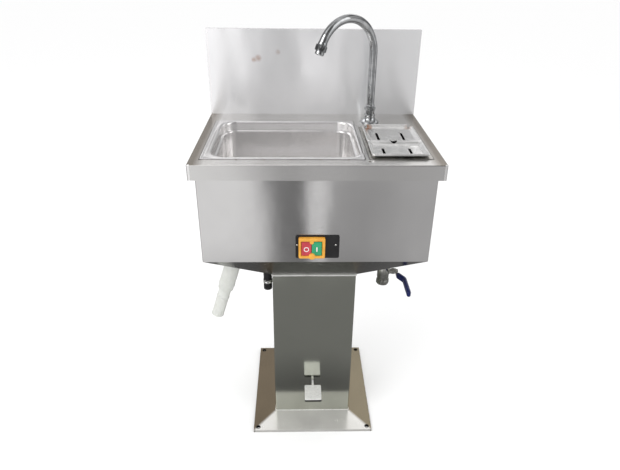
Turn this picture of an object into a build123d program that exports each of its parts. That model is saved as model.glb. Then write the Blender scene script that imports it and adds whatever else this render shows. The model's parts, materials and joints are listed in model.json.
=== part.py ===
from build123d import *
import os
from math import cos, radians, sin, tan

# Pedestal wash tank: a stainless worktop with a pressed basin, a gooseneck tap and a slotted soak well,
# on a box cabinet, a tapered hopper, a square column and a floor plate. Millimetres, +Z up, X to the
# right, Y away from the user. The origin is the centre of the floor plate's underside.

# ---- Driving sizes ----
sheet = 1.5                      # folded stainless sheet
corner_radius = 3.0              # vertical bends of column, hopper and cabinet
fit_gap = 0.3                    # between pieces that lift out or move past each other
shaft_gap = 0.05                 # radial clearance of a running shaft

worktop_width, worktop_depth = 600.0, 440.0
worktop_height, apron_height = 880.0, 38.0
worktop_bend = 5.0
backsplash_height, backsplash_depth, backsplash_lip = 237.0, 14.0, 20.0

cabinet_width, cabinet_depth, cabinet_bottom = 571.0, 410.0, 615.0
column_width, column_depth, column_top = 232.0, 224.0, 519.0
plate_width, plate_depth, plate_thickness = 362.0, 387.0, 8.0
plate_hole_inset, plate_hole_diameter = 13.5, 11.0

sink_center = (-74.5, -23.5)
sink_length, sink_width = 359.0, 285.0
sink_corner, sink_bottom_radius = 40.0, 25.0
sink_step_depth, sink_step_inset, sink_depth = 25.0, 7.0, 150.0
sink_sheet = 1.2
sink_flange = (387.0, 313.0)
sink_flange_center = (-81.5, -27.5)
drain_bore = 60.0

well_center = (198.5, -52.5)
well_length, well_width, well_depth = 126.0, 233.0, 190.0
well_flange_margin, well_corner = 12.0, 12.0

tap_position = (158.0, 127.0)
tap_tube, tap_wall = 22.0, 2.0
tap_rise, tap_arc_radius, tap_arc_angle, tap_heading = 187.0, 93.0, 157.0, 36.7

switch_center_x, switch_center_z = 3.0, 660.0
switch_width, switch_height, switch_plate_thickness = 109.0, 63.0, 3.0
button_travel = 3.5

spigot_top = (-215.0, -100.0, 575.0)
spigot_lean = 17.5               # degrees from plumb, towards -X
spigot_length = 205.0
waste_socket_diameter, waste_pipe_diameter, waste_wall = 44.0, 34.0, 3.0
waste_socket_length = 112.0

valve_center = (201.0, -53.0, 493.0)
valve_length, valve_diameter = 78.0, 34.0
drain_pipe_diameter, drain_pipe_bore = 20.8, 16.0
lever_reach, lever_crank, lever_width, lever_thickness = 120.0, 17.0, 12.0, 2.5

inlet_position = (-130.5, -80.0)
inlet_bottom, inlet_diameter = 454.0, 24.0

pedal_width, pedal_depth, pedal_top, pedal_front = 50.0, 63.0, 135.0, -196.0
pedal_lip, pedal_sheet = 8.0, 2.0
pedal_pivot_y, pedal_pivot_z = -60.0, 126.0
pedal_arm_width, pedal_arm_height = 6.0, 14.0
foot_valve_y, foot_valve_diameter = -15.0, 30.0
hose_diameter, hose_bore = 13.0, 9.0

os.makedirs("parts", exist_ok=True)


def save(piece, label):
    """Name a finished piece and write its STEP file."""
    piece.part.label = label
    export_step(piece.part, f"parts/{label}.step")


def ring(plane, outer, inner, length):
    """Round ring that grows along the plane's normal."""
    with BuildPart() as form:
        with BuildSketch(plane):
            Circle(outer / 2)
            Circle(inner / 2, mode=Mode.SUBTRACT)
        extrude(amount=length)
    return form


def hex_ring(plane, across_flats, inner, length):
    """Hexagonal nut that grows along the plane's normal."""
    with BuildPart() as form:
        with BuildSketch(plane):
            RegularPolygon(across_flats / 2, 6, major_radius=False)
            Circle(inner / 2, mode=Mode.SUBTRACT)
        extrude(amount=length)
    return form


def screw_group(seats, head_diameter, head_height, shank_diameter, shank_length):
    """Pan-head screws, one on each seat plane, with heads standing out along its normal."""
    with BuildPart() as group:
        for seat in seats:
            with BuildSketch(seat):
                Circle(head_diameter / 2)
            extrude(amount=head_height)
            with BuildSketch(seat):
                Circle(shank_diameter / 2)
            extrude(amount=-shank_length)
    return group


def hose_run(points, radii, outer, inner):
    """Tube along straight runs joined by tangent arcs."""
    with BuildPart() as hose:
        with BuildLine() as route:
            FilletPolyline(*points, radius=radii)
        with BuildSketch(Plane(origin=route.line @ 0, z_dir=route.line % 0)):
            Circle(outer / 2)
            Circle(inner / 2, mode=Mode.SUBTRACT)
        sweep(path=route.line)
    return hose


def coil_spring(base, axis, length, mean_radius, wire_diameter, turns):
    """Round-wire compression spring that stands on base along axis."""
    start = Vector(*base) + Vector(*axis) * (wire_diameter / 2)
    free_length = length - wire_diameter
    with BuildPart() as spring:
        with BuildLine() as coil:
            Helix(pitch=free_length / turns, height=free_length, radius=mean_radius,
                  center=tuple(start), direction=axis)
        with BuildSketch(Plane(origin=coil.line @ 0, z_dir=coil.line % 0)):
            Circle(wire_diameter / 2)
        sweep(path=coil.line, is_frenet=True)
    return spring


# ---- Floor plate and column ----
plate_holes = (plate_width - 2 * plate_hole_inset, plate_depth - 2 * plate_hole_inset)
with BuildPart() as base_plate:
    with BuildSketch():
        Rectangle(plate_width, plate_depth)
    extrude(amount=plate_thickness)
    with Locations((0, 0, plate_thickness)):
        with GridLocations(plate_holes[0], plate_holes[1], 2, 2):
            Hole(plate_hole_diameter / 2)
    chamfer(base_plate.faces().sort_by(Axis.Z)[-1].outer_wire().edges(), 0.8)
save(base_plate, "base_plate")

pedal_slot_width = pedal_arm_width + 4
pedal_slot_bottom, pedal_slot_top = pedal_pivot_z - 19, pedal_pivot_z + 11
pedal_slot_height = pedal_slot_top - pedal_slot_bottom
service_width, service_height, service_z, cover_margin = 140.0, 240.0, 220.0, 12.0
column_front, column_back = -column_depth / 2, column_depth / 2
screw_head, screw_head_height, screw_shank, screw_length = 8.0, 2.4, 3.9, 8.0
cover_screw_span = (service_width + cover_margin, service_height + cover_margin)

with BuildPart() as column_shell:
    with BuildSketch(Plane.XY.offset(plate_thickness)):
        RectangleRounded(column_width, column_depth, corner_radius)
        RectangleRounded(column_width - 2 * sheet, column_depth - 2 * sheet, corner_radius - sheet,
                         mode=Mode.SUBTRACT)
    extrude(amount=column_top - plate_thickness)
    with BuildSketch(Plane.XZ.offset(-column_front)):
        with Locations((0, pedal_slot_bottom + pedal_slot_height / 2)):
            RectangleRounded(pedal_slot_width, pedal_slot_height, 2)
    extrude(amount=-2 * sheet, mode=Mode.SUBTRACT)
    with BuildSketch(Plane.XZ.offset(-column_back)):
        with Locations((0, service_z)):
            RectangleRounded(service_width, service_height, 6)
            with GridLocations(cover_screw_span[0], cover_screw_span[1], 2, 2):
                Circle(screw_shank / 2 + 0.1)
    extrude(amount=2 * sheet, mode=Mode.SUBTRACT)
save(column_shell, "column_shell")

with BuildPart() as service_cover:
    with BuildSketch(Plane.XZ.offset(-column_back)):
        with Locations((0, service_z)):
            RectangleRounded(service_width + 2 * cover_margin, service_height + 2 * cover_margin, 4)
            with GridLocations(cover_screw_span[0], cover_screw_span[1], 2, 2):
                Circle(screw_shank / 2 + 0.1, mode=Mode.SUBTRACT)
    extrude(amount=-sheet)
save(service_cover, "service_cover")

cover_seats = [
    Plane(origin=(side * cover_screw_span[0] / 2, column_back + sheet,
                  service_z + level * cover_screw_span[1] / 2), z_dir=(0, 1, 0))
    for side in (-1, 1) for level in (-1, 1)
]
service_cover_screws = screw_group(cover_seats, screw_head, screw_head_height, screw_shank, screw_length)
save(service_cover_screws, "service_cover_screws")

# ---- Hopper and cabinet ----
hopper_height = cabinet_bottom - column_top
hopper_slope = hopper_height / ((cabinet_width - column_width) / 2)


def slope_height(x):
    """Height of the hopper's outer side wall at a distance x from the centre plane."""
    return cabinet_bottom - (cabinet_width / 2 - abs(x)) * hopper_slope


def hopper_form(inset):
    """Four-sided taper between the column's and the cabinet's outlines, drawn in by inset."""
    with BuildPart() as form:
        with BuildSketch(Plane.XY.offset(column_top)):
            RectangleRounded(column_width - 2 * inset, column_depth - 2 * inset, corner_radius - inset)
        with BuildSketch(Plane.XY.offset(cabinet_bottom)):
            RectangleRounded(cabinet_width - 2 * inset, cabinet_depth - 2 * inset, corner_radius - inset)
        loft(ruled=True)
    return form.part


spigot_axis = (-sin(radians(spigot_lean)), 0, -cos(radians(spigot_lean)))
spigot_plane = Plane(origin=spigot_top, z_dir=spigot_axis)
pipe_clearance = 2.0
inlet_nipple_diameter = 20.0

with BuildPart() as hopper:
    add(hopper_form(0))
    add(hopper_form(sheet), mode=Mode.SUBTRACT)
    with BuildSketch(spigot_plane.offset(-40)):
        Circle(waste_socket_diameter / 2 + pipe_clearance / 4)
    extrude(amount=80, mode=Mode.SUBTRACT)
    with BuildSketch(Plane.XY.offset(column_top)):
        with Locations(valve_center[:2]):
            Circle(drain_pipe_diameter / 2 + pipe_clearance)
        with Locations(inlet_position):
            Circle(inlet_nipple_diameter / 2 + fit_gap)
    extrude(amount=hopper_height - 5, mode=Mode.SUBTRACT)
save(hopper, "hopper")

switch_body_width, switch_body_height, switch_body_depth = 64.0, 50.0, 45.0
switch_body_x = switch_center_x - 13.5
access_width, access_height, access_z = 300.0, 150.0, 720.0
access_screw_span = (access_width + cover_margin, access_height + cover_margin)
cabinet_front, cabinet_back = -cabinet_depth / 2, cabinet_depth / 2
switch_screw_x = (switch_center_x - 50.5, switch_center_x + 45.5)
switch_screw_z = switch_center_z + 5.5
switch_screw_shank = 3.9

with BuildPart() as cabinet_shell:
    with BuildSketch(Plane.XY.offset(cabinet_bottom)):
        RectangleRounded(cabinet_width, cabinet_depth, corner_radius)
        RectangleRounded(cabinet_width - 2 * sheet, cabinet_depth - 2 * sheet, corner_radius - sheet,
                         mode=Mode.SUBTRACT)
    extrude(amount=worktop_height - sheet - cabinet_bottom)
    with BuildSketch(Plane.XZ.offset(-cabinet_front)):
        with Locations((switch_body_x, switch_center_z)):
            Rectangle(switch_body_width + 2 * fit_gap, switch_body_height + 2 * fit_gap)
        with Locations(*[(x, switch_screw_z) for x in switch_screw_x]):
            Circle(switch_screw_shank / 2 + 0.1)
    extrude(amount=-2 * sheet, mode=Mode.SUBTRACT)
    with BuildSketch(Plane.XZ.offset(-cabinet_back)):
        with Locations((0, access_z)):
            RectangleRounded(access_width, access_height, 6)
            with GridLocations(access_screw_span[0], access_screw_span[1], 2, 2):
                Circle(screw_shank / 2 + 0.1)
    extrude(amount=2 * sheet, mode=Mode.SUBTRACT)
save(cabinet_shell, "cabinet_shell")

with BuildPart() as access_panel:
    with BuildSketch(Plane.XZ.offset(-cabinet_back)):
        with Locations((0, access_z)):
            RectangleRounded(access_width + 2 * cover_margin, access_height + 2 * cover_margin, 4)
            with GridLocations(access_screw_span[0], access_screw_span[1], 2, 2):
                Circle(screw_shank / 2 + 0.1, mode=Mode.SUBTRACT)
    extrude(amount=-sheet)
save(access_panel, "access_panel")

panel_seats = [
    Plane(origin=(side * access_screw_span[0] / 2, cabinet_back + sheet,
                  access_z + level * access_screw_span[1] / 2), z_dir=(0, 1, 0))
    for side in (-1, 1) for level in (-1, 1)
]
access_panel_screws = screw_group(panel_seats, screw_head, screw_head_height, screw_shank, screw_length)
save(access_panel_screws, "access_panel_screws")

# ---- Worktop and backsplash ----
tap_shank_diameter = 20.0
worktop_underside = worktop_height - sheet
with BuildPart() as worktop:
    with BuildSketch(Plane.XY.offset(worktop_height - apron_height)):
        RectangleRounded(worktop_width, worktop_depth, corner_radius)
    extrude(amount=apron_height)
    fillet(worktop.faces().sort_by(Axis.Z)[-1].edges(), corner_radius - 0.5)
    offset(amount=-sheet, openings=worktop.faces().sort_by(Axis.Z)[0])
    with BuildSketch(Plane.XY.offset(worktop_height)):
        with Locations(sink_center):
            RectangleRounded(sink_length + 2 * sink_sheet + 2, sink_width + 2 * sink_sheet + 2,
                             sink_corner + sink_sheet)
        with Locations(well_center):
            RectangleRounded(well_length + 2 * sink_sheet + 2, well_width + 2 * sink_sheet + 2,
                             well_corner + sink_sheet)
        with Locations(tap_position):
            Circle(tap_shank_diameter / 2 + 0.5)
    extrude(amount=-2 * sheet, mode=Mode.SUBTRACT)
save(worktop, "worktop")

backsplash_front = worktop_depth / 2 - backsplash_depth
backsplash_top = worktop_height + backsplash_height
with BuildPart() as backsplash:
    with BuildSketch(Plane.YZ.offset(-worktop_width / 2)):
        with Locations((backsplash_front + backsplash_depth / 2, worktop_height + backsplash_height / 2)):
            Rectangle(backsplash_depth, backsplash_height)
    extrude(amount=worktop_width)
    hollow_depth = backsplash_depth - sheet
    with BuildSketch(Plane.YZ.offset(-worktop_width / 2 + sheet)):
        with Locations((worktop_depth / 2 - hollow_depth / 2,
                        worktop_height + backsplash_height / 2 - sheet)):
            Rectangle(hollow_depth, backsplash_height - 4 * sheet)
    extrude(amount=worktop_width - 2 * sheet, mode=Mode.SUBTRACT)
    with BuildSketch(Plane.XZ.offset(-worktop_depth / 2)):
        with Locations((0, backsplash_top - backsplash_lip / 2)):
            Rectangle(worktop_width - 2 * sheet, backsplash_lip)
    extrude(amount=sheet)
save(backsplash, "backsplash")

# ---- Basin with its drain ----
sink_rim = worktop_height + sink_sheet
sink_floor = sink_rim - sink_depth


def bowl_form(growth):
    """Solid form of the pressed bowl, grown outwards by the sheet's thickness."""
    with BuildPart() as form:
        with BuildSketch(Plane.XY.offset(sink_rim)):
            with Locations(sink_center):
                RectangleRounded(sink_length + 2 * growth, sink_width + 2 * growth, sink_corner + growth)
        extrude(amount=-sink_step_depth - growth)
        with BuildSketch(Plane.XY.offset(sink_rim)):
            with Locations(sink_center):
                RectangleRounded(sink_length - 2 * sink_step_inset + 2 * growth,
                                 sink_width - 2 * sink_step_inset + 2 * growth,
                                 sink_corner - sink_step_inset + growth)
        extrude(amount=-sink_depth - growth)
        fillet(form.faces().sort_by(Axis.Z)[0].edges(), sink_bottom_radius + growth)
    return form.part


with BuildPart() as sink_bowl:
    with BuildSketch(Plane.XY.offset(worktop_height)):
        with Locations(sink_flange_center):
            RectangleRounded(sink_flange[0], sink_flange[1], 14)
    extrude(amount=sink_sheet)
    add(bowl_form(sink_sheet))
    add(bowl_form(0), mode=Mode.SUBTRACT)
    with BuildSketch(Plane.XY.offset(sink_floor)):
        with Locations(sink_center):
            Circle(drain_bore / 2)
    extrude(amount=-2 * sink_sheet, mode=Mode.SUBTRACT)
save(sink_bowl, "sink_bowl")

drain_flange_diameter, drain_flange_thickness = 84.0, 2.0
drain_cup_diameter, drain_cup_depth = drain_bore - 1.0, 42.0
drain_wall = 2.0
drain_tail_diameter, drain_tail_length = 38.0, 28.0
drain_cup_bottom = sink_floor - drain_cup_depth
drain_tail_bottom = drain_cup_bottom - drain_tail_length
with BuildPart() as sink_drain_body:
    with BuildSketch(Plane.XY.offset(sink_floor)):
        with Locations(sink_center):
            Circle(drain_flange_diameter / 2)
    extrude(amount=drain_flange_thickness)
    with BuildSketch(Plane.XY.offset(sink_floor)):
        with Locations(sink_center):
            Circle(drain_cup_diameter / 2)
    extrude(amount=-drain_cup_depth)
    with BuildSketch(Plane.XY.offset(drain_cup_bottom)):
        with Locations(sink_center):
            Circle(drain_tail_diameter / 2)
    extrude(amount=-drain_tail_length)
    with BuildSketch(Plane.XY.offset(sink_floor + drain_flange_thickness)):
        with Locations(sink_center):
            Circle(drain_cup_diameter / 2 - drain_wall)
    extrude(amount=-drain_cup_depth - drain_flange_thickness + drain_wall, mode=Mode.SUBTRACT)
    with BuildSketch(Plane.XY.offset(drain_tail_bottom)):
        with Locations(sink_center):
            Circle(drain_tail_diameter / 2 - drain_wall)
    extrude(amount=drain_tail_length + drain_wall, mode=Mode.SUBTRACT)
save(sink_drain_body, "sink_drain_body")

gasket_thickness, drain_nut_height = 3.0, 9.0
sink_underside = sink_floor - sink_sheet
gasket_seat = Plane(origin=(*sink_center, sink_underside), z_dir=(0, 0, -1))
save(ring(gasket_seat, drain_flange_diameter - 4, drain_cup_diameter + 0.4, gasket_thickness),
     "sink_drain_gasket")
save(hex_ring(gasket_seat.offset(gasket_thickness), drain_flange_diameter - 6,
              drain_cup_diameter + 0.2, drain_nut_height), "sink_drain_nut")

strainer_diameter = drain_cup_diameter - 2 * drain_wall - 2
strainer_rim = sink_floor + drain_flange_thickness + fit_gap
strainer_depth, strainer_wall, strainer_knob_height = 22.0, 1.2, 14.0
with BuildPart() as sink_strainer:
    with BuildSketch(Plane.XY.offset(strainer_rim)):
        with Locations(sink_center):
            Circle(drain_cup_diameter / 2 + 4)
    extrude(amount=strainer_wall)
    with BuildSketch(Plane.XY.offset(strainer_rim)):
        with Locations(sink_center):
            Circle(strainer_diameter / 2)
    extrude(amount=-strainer_depth)
    with BuildSketch(Plane.XY.offset(strainer_rim + strainer_wall)):
        with Locations(sink_center):
            Circle(strainer_diameter / 2 - strainer_wall)
    extrude(amount=-strainer_depth, mode=Mode.SUBTRACT)
    with BuildSketch(Plane.XY.offset(strainer_rim - strainer_depth)):
        with Locations(sink_center):
            for hole_ring, hole_count in ((9, 8), (15, 14), (21, 20)):
                with PolarLocations(hole_ring, hole_count):
                    Circle(1.6)
    extrude(amount=2 * strainer_wall, mode=Mode.SUBTRACT)
    with BuildSketch(Plane.XY.offset(strainer_rim - strainer_depth + strainer_wall)):
        with Locations(sink_center):
            Circle(3)
    extrude(amount=strainer_depth - strainer_wall)
    with BuildSketch(Plane.XY.offset(strainer_rim - strainer_wall)):
        with Locations(sink_center):
            Circle(6)
    extrude(amount=strainer_knob_height - 6)
save(sink_strainer, "sink_strainer")

# Flexible waste hose from the drain's tail to the socket in the hopper's side wall.
socket_start, waste_bend, union_lip = -36.0, 20.0, 4.0
hose_entry = spigot_plane.offset(socket_start - 24).origin
hose_fall = hose_entry - Vector(*sink_center, drain_tail_bottom - waste_bend)
hose_turn = radians(hose_fall.get_angle(Vector(0, 0, -1)))
hose_drop = union_lip + waste_bend * tan(hose_turn / 2) + 1
waste_hose = hose_run(
    [
        (*sink_center, drain_tail_bottom),
        (*sink_center, drain_tail_bottom - hose_drop),
        tuple(hose_entry),
        tuple(spigot_plane.offset(socket_start).origin),
    ],
    [waste_bend, waste_bend], waste_pipe_diameter, waste_pipe_diameter - 2 * waste_wall)
save(waste_hose, "waste_hose")

# Union nut that holds the hose under the drain's tail, seated on the tail's end.
union_plane = Plane(origin=(*sink_center, drain_tail_bottom))
union_flats = 48.0
with BuildPart() as waste_union_nut:
    add(hex_ring(union_plane, union_flats, drain_tail_diameter + 0.2, 12.0).part)
    add(hex_ring(union_plane.offset(-union_lip), union_flats, waste_pipe_diameter + 0.2, union_lip).part)
save(waste_union_nut, "waste_union_nut")

# ---- Waste socket and tail pipe outside the hopper ----
pipe_overlap = 20.0
with BuildPart() as waste_socket:
    with BuildSketch(spigot_plane.offset(socket_start)):
        Circle(waste_socket_diameter / 2)
    extrude(amount=waste_socket_length - socket_start)
    with BuildSketch(spigot_plane.offset(waste_socket_length)):
        Circle(waste_pipe_diameter / 2 + 0.1)
    extrude(amount=-pipe_overlap, mode=Mode.SUBTRACT)
    with BuildSketch(spigot_plane.offset(waste_socket_length)):
        Circle(waste_pipe_diameter / 2 - waste_wall)
    extrude(amount=-waste_socket_length + socket_start, mode=Mode.SUBTRACT)
    chamfer(waste_socket.faces().sort_by(Axis(spigot_top, spigot_axis))[-1].outer_wire().edges(), 1.5)
save(waste_socket, "waste_socket")

pipe_start = waste_socket_length - pipe_overlap + fit_gap
pipe_ring_at, pipe_ring_width, pipe_ring_height = waste_socket_length + 26, 5.0, 1.0
with BuildPart() as waste_pipe:
    with BuildSketch(spigot_plane.offset(pipe_start)):
        Circle(waste_pipe_diameter / 2)
    extrude(amount=spigot_length - pipe_start)
    with BuildSketch(spigot_plane.offset(pipe_ring_at)):
        Circle(waste_pipe_diameter / 2 + pipe_ring_height)
    extrude(amount=pipe_ring_width)
    with BuildSketch(spigot_plane.offset(pipe_start)):
        Circle(waste_pipe_diameter / 2 - waste_wall)
    extrude(amount=spigot_length - pipe_start, mode=Mode.SUBTRACT)
save(waste_pipe, "waste_pipe")

# ---- Heated soak well ----
well_rim = worktop_height + sink_sheet
well_floor = well_rim - well_depth
outlet_bore = drain_pipe_diameter + 0.1
heater_z, heater_spacing, heater_tube = well_floor + 28, 40.0, 8.0
heater_x = well_center[0] + 6
heater_bushing = 14.0
probe_x, probe_z, probe_diameter = well_center[0] - 36, well_floor + 60, 6.0
well_back = well_center[1] + well_width / 2


def well_form(growth):
    """Solid form of the soak well, grown outwards by the sheet's thickness."""
    with BuildPart() as form:
        with BuildSketch(Plane.XY.offset(well_rim)):
            with Locations(well_center):
                RectangleRounded(well_length + 2 * growth, well_width + 2 * growth, well_corner + growth)
        extrude(amount=-well_depth - growth)
    return form.part


heater_ports = [(heater_x - heater_spacing / 2, heater_z), (heater_x + heater_spacing / 2, heater_z)]
with BuildPart() as well_tank:
    with BuildSketch(Plane.XY.offset(worktop_height)):
        with Locations(well_center):
            RectangleRounded(well_length + 2 * well_flange_margin, well_width + 2 * well_flange_margin, 6)
    extrude(amount=sink_sheet)
    add(well_form(sink_sheet))
    add(well_form(0), mode=Mode.SUBTRACT)
    with BuildSketch(Plane.XY.offset(well_floor)):
        with Locations(valve_center[:2]):
            Circle(drain_pipe_bore / 2)
    extrude(amount=-2 * sink_sheet, mode=Mode.SUBTRACT)
    with BuildSketch(Plane.XZ.offset(-well_back)):
        with Locations(*heater_ports):
            Circle(heater_bushing / 2)
        with Locations((probe_x, probe_z)):
            Circle(probe_diameter / 2 + 0.1)
    extrude(amount=-2 * sink_sheet, mode=Mode.SUBTRACT)
save(well_tank, "well_tank")

heater_reach = 150.0
with BuildPart() as heater_element:
    with BuildLine(Plane.XY.offset(heater_z)) as loop:
        FilletPolyline((heater_ports[0][0], well_back + 24), (heater_ports[0][0], well_back - heater_reach),
                       (heater_ports[1][0], well_back - heater_reach), (heater_ports[1][0], well_back + 24),
                       radius=15)
    with BuildSketch(Plane(origin=loop.line @ 0, z_dir=loop.line % 0)):
        Circle(heater_tube / 2)
    sweep(path=loop.line)
save(heater_element, "heater_element")

with BuildPart() as heater_bushings:
    for port in heater_ports:
        with BuildSketch(Plane.XZ.offset(-well_back - sink_sheet)):
            with Locations(port):
                RegularPolygon(10, 6, major_radius=False)
                Circle(heater_tube / 2 + 0.05, mode=Mode.SUBTRACT)
        extrude(amount=-8)
        with BuildSketch(Plane.XZ.offset(-well_back - sink_sheet)):
            with Locations(port):
                Circle(heater_bushing / 2 - 0.1)
                Circle(heater_tube / 2 + 0.05, mode=Mode.SUBTRACT)
        extrude(amount=sink_sheet + 4)
save(heater_bushings, "heater_bushings")

thermostat_size = (36.0, 26.0, 44.0)
with BuildPart() as thermostat:
    with BuildSketch(Plane.XZ.offset(-well_back - sink_sheet)):
        with Locations((probe_x, probe_z)):
            RectangleRounded(thermostat_size[0], thermostat_size[2], 4)
            Circle(probe_diameter / 2 + 0.05, mode=Mode.SUBTRACT)
    extrude(amount=-thermostat_size[1])
save(thermostat, "thermostat")

with BuildPart() as thermostat_probe:
    with BuildSketch(Plane.XZ.offset(-well_back - sink_sheet - thermostat_size[1] + 6)):
        with Locations((probe_x, probe_z)):
            Circle(probe_diameter / 2)
    extrude(amount=thermostat_size[1] + 60)
save(thermostat_probe, "thermostat_probe")

# ---- Well outlet, drain pipe and ball valve ----
outlet_height, outlet_diameter, pipe_insert = 22.0, 30.0, 14.0
with BuildPart() as well_outlet:
    with BuildSketch(Plane.XY.offset(well_floor - sink_sheet)):
        with Locations(valve_center[:2]):
            Circle(outlet_diameter / 2)
            Circle(drain_pipe_bore / 2, mode=Mode.SUBTRACT)
    extrude(amount=-outlet_height)
    with BuildSketch(Plane.XY.offset(well_floor - sink_sheet - outlet_height)):
        with Locations(valve_center[:2]):
            Circle(outlet_bore / 2)
    extrude(amount=pipe_insert, mode=Mode.SUBTRACT)
save(well_outlet, "well_outlet")

valve_top = valve_center[2] + valve_length / 2
valve_bottom = valve_center[2] - valve_length / 2
drain_pipe_top = well_floor - sink_sheet - outlet_height + pipe_insert - fit_gap
drain_pipe_bottom = valve_top - pipe_insert + fit_gap
save(ring(Plane(origin=(*valve_center[:2], drain_pipe_bottom)), drain_pipe_diameter, drain_pipe_bore,
          drain_pipe_top - drain_pipe_bottom), "drain_pipe")

ball_diameter, stem_diameter, valve_bore = 25.0, 8.0, 16.0
neck_diameter, neck_reach = 15.0, 25.0
valve_hex, valve_hex_height = 32.0, 16.0
stem_plane = Plane(origin=valve_center, z_dir=(1, 0, 0))
with BuildPart() as valve_body:
    for end_plane in (Plane(origin=(*valve_center[:2], valve_bottom)),
                      Plane(origin=(*valve_center[:2], valve_top - valve_hex_height))):
        with BuildSketch(end_plane):
            RegularPolygon(valve_hex / 2, 6, major_radius=False)
        extrude(amount=valve_hex_height)
    with BuildSketch(Plane(origin=(*valve_center[:2], valve_bottom + valve_hex_height))):
        Circle(valve_diameter / 2)
    extrude(amount=valve_length - 2 * valve_hex_height)
    with BuildSketch(stem_plane):
        Circle(neck_diameter / 2)
    extrude(amount=neck_reach)
    with BuildSketch(Plane(origin=(*valve_center[:2], valve_bottom))):
        Circle(valve_bore / 2)
    extrude(amount=valve_length, mode=Mode.SUBTRACT)
    for end_plane in (Plane(origin=(*valve_center[:2], valve_bottom)),
                      Plane(origin=(*valve_center[:2], valve_top - pipe_insert))):
        with BuildSketch(end_plane):
            Circle(outlet_bore / 2)
        extrude(amount=pipe_insert, mode=Mode.SUBTRACT)
    with Locations(valve_center):
        Sphere(ball_diameter / 2 + shaft_gap, mode=Mode.SUBTRACT)
    with BuildSketch(stem_plane):
        Circle(stem_diameter / 2 + shaft_gap)
    extrude(amount=neck_reach, mode=Mode.SUBTRACT)
save(valve_body, "valve_body")

packing_nut_height, lever_seat = 8.0, 2.0
lever_plane_x = neck_reach + packing_nut_height + lever_seat
save(hex_ring(stem_plane.offset(neck_reach), 17.0, stem_diameter + 2 * shaft_gap, packing_nut_height),
     "valve_packing_nut")

stem_end = lever_plane_x + lever_thickness + 5
with BuildPart() as valve_ball:
    with Locations(valve_center):
        Sphere(ball_diameter / 2)
    with BuildSketch(stem_plane):
        Circle(stem_diameter / 2)
    extrude(amount=stem_end)
    with BuildSketch(Plane(origin=valve_center, z_dir=(0, 1, 0))):
        Circle(valve_bore / 2)
    extrude(amount=ball_diameter / 2, both=True, mode=Mode.SUBTRACT)
save(valve_ball, "valve_ball")

# The lever is closed when it lies level and points to the front, and open when it hangs down.
crank_start, crank_end = 20.0, 48.0
lever_x = valve_center[0] + lever_plane_x
lever_front = valve_center[1] - lever_reach
with BuildPart() as valve_lever:
    with BuildSketch(Plane.XY.offset(valve_center[2] - lever_width / 2)):
        with BuildLine():
            FilletPolyline(
                (lever_x, valve_center[1] + lever_width / 2),
                (lever_x, valve_center[1] - crank_start),
                (lever_x + lever_crank, valve_center[1] - crank_end),
                (lever_x + lever_crank, lever_front + 3),
                (lever_x + lever_crank + lever_thickness, lever_front + 3),
                (lever_x + lever_crank + lever_thickness, valve_center[1] - crank_end),
                (lever_x + lever_thickness, valve_center[1] - crank_start),
                (lever_x + lever_thickness, valve_center[1] + lever_width / 2),
                radius=0.4, close=True)
        make_face()
    extrude(amount=lever_width)
    with BuildSketch(stem_plane.offset(lever_plane_x)):
        Circle(stem_diameter / 2)
    extrude(amount=lever_thickness, mode=Mode.SUBTRACT)
save(valve_lever, "valve_lever")

save(hex_ring(stem_plane.offset(lever_plane_x + lever_thickness), 12.0, stem_diameter, 4.0), "valve_lever_nut")

sleeve_wall, sleeve_start = 2.0, 52.0
sleeve_thickness = lever_thickness + 2 * sleeve_wall
sleeve_width = lever_width + 2 * sleeve_wall
sleeve_middle = lever_x + lever_crank + lever_thickness / 2
with BuildPart() as lever_sleeve:
    with BuildSketch(Plane.XZ.offset(-valve_center[1] + sleeve_start)):
        with Locations((sleeve_middle, valve_center[2])):
            RectangleRounded(sleeve_thickness, sleeve_width, 2.5)
    extrude(amount=lever_reach - sleeve_start)
    with BuildSketch(Plane.XZ.offset(-valve_center[1] + sleeve_start)):
        with Locations((sleeve_middle, valve_center[2])):
            Rectangle(lever_thickness, lever_width)
    extrude(amount=lever_reach - sleeve_start - 3, mode=Mode.SUBTRACT)
    fillet(lever_sleeve.faces().sort_by(Axis.Y)[0].edges(), 1.5)
save(lever_sleeve, "lever_sleeve")

# ---- Slotted lift-out racks over the well ----
rack_width, rack_rim_height = 138.0, 9.0
rack_split, rack_reach = well_center[1] - 20.5, (142.0, 101.0)
slot_width, slot_spacing = 6.5, 65.5
slot_lengths, slot_offsets = (59.0, 46.0), (56.5, 62.0)
slot_center_x = well_center[0] - 3.5
rack_bottom = well_rim + fit_gap
tab_depth, notch_radius, corner_notch = 12.0, 9.0, (14.0, 15.0)


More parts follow.
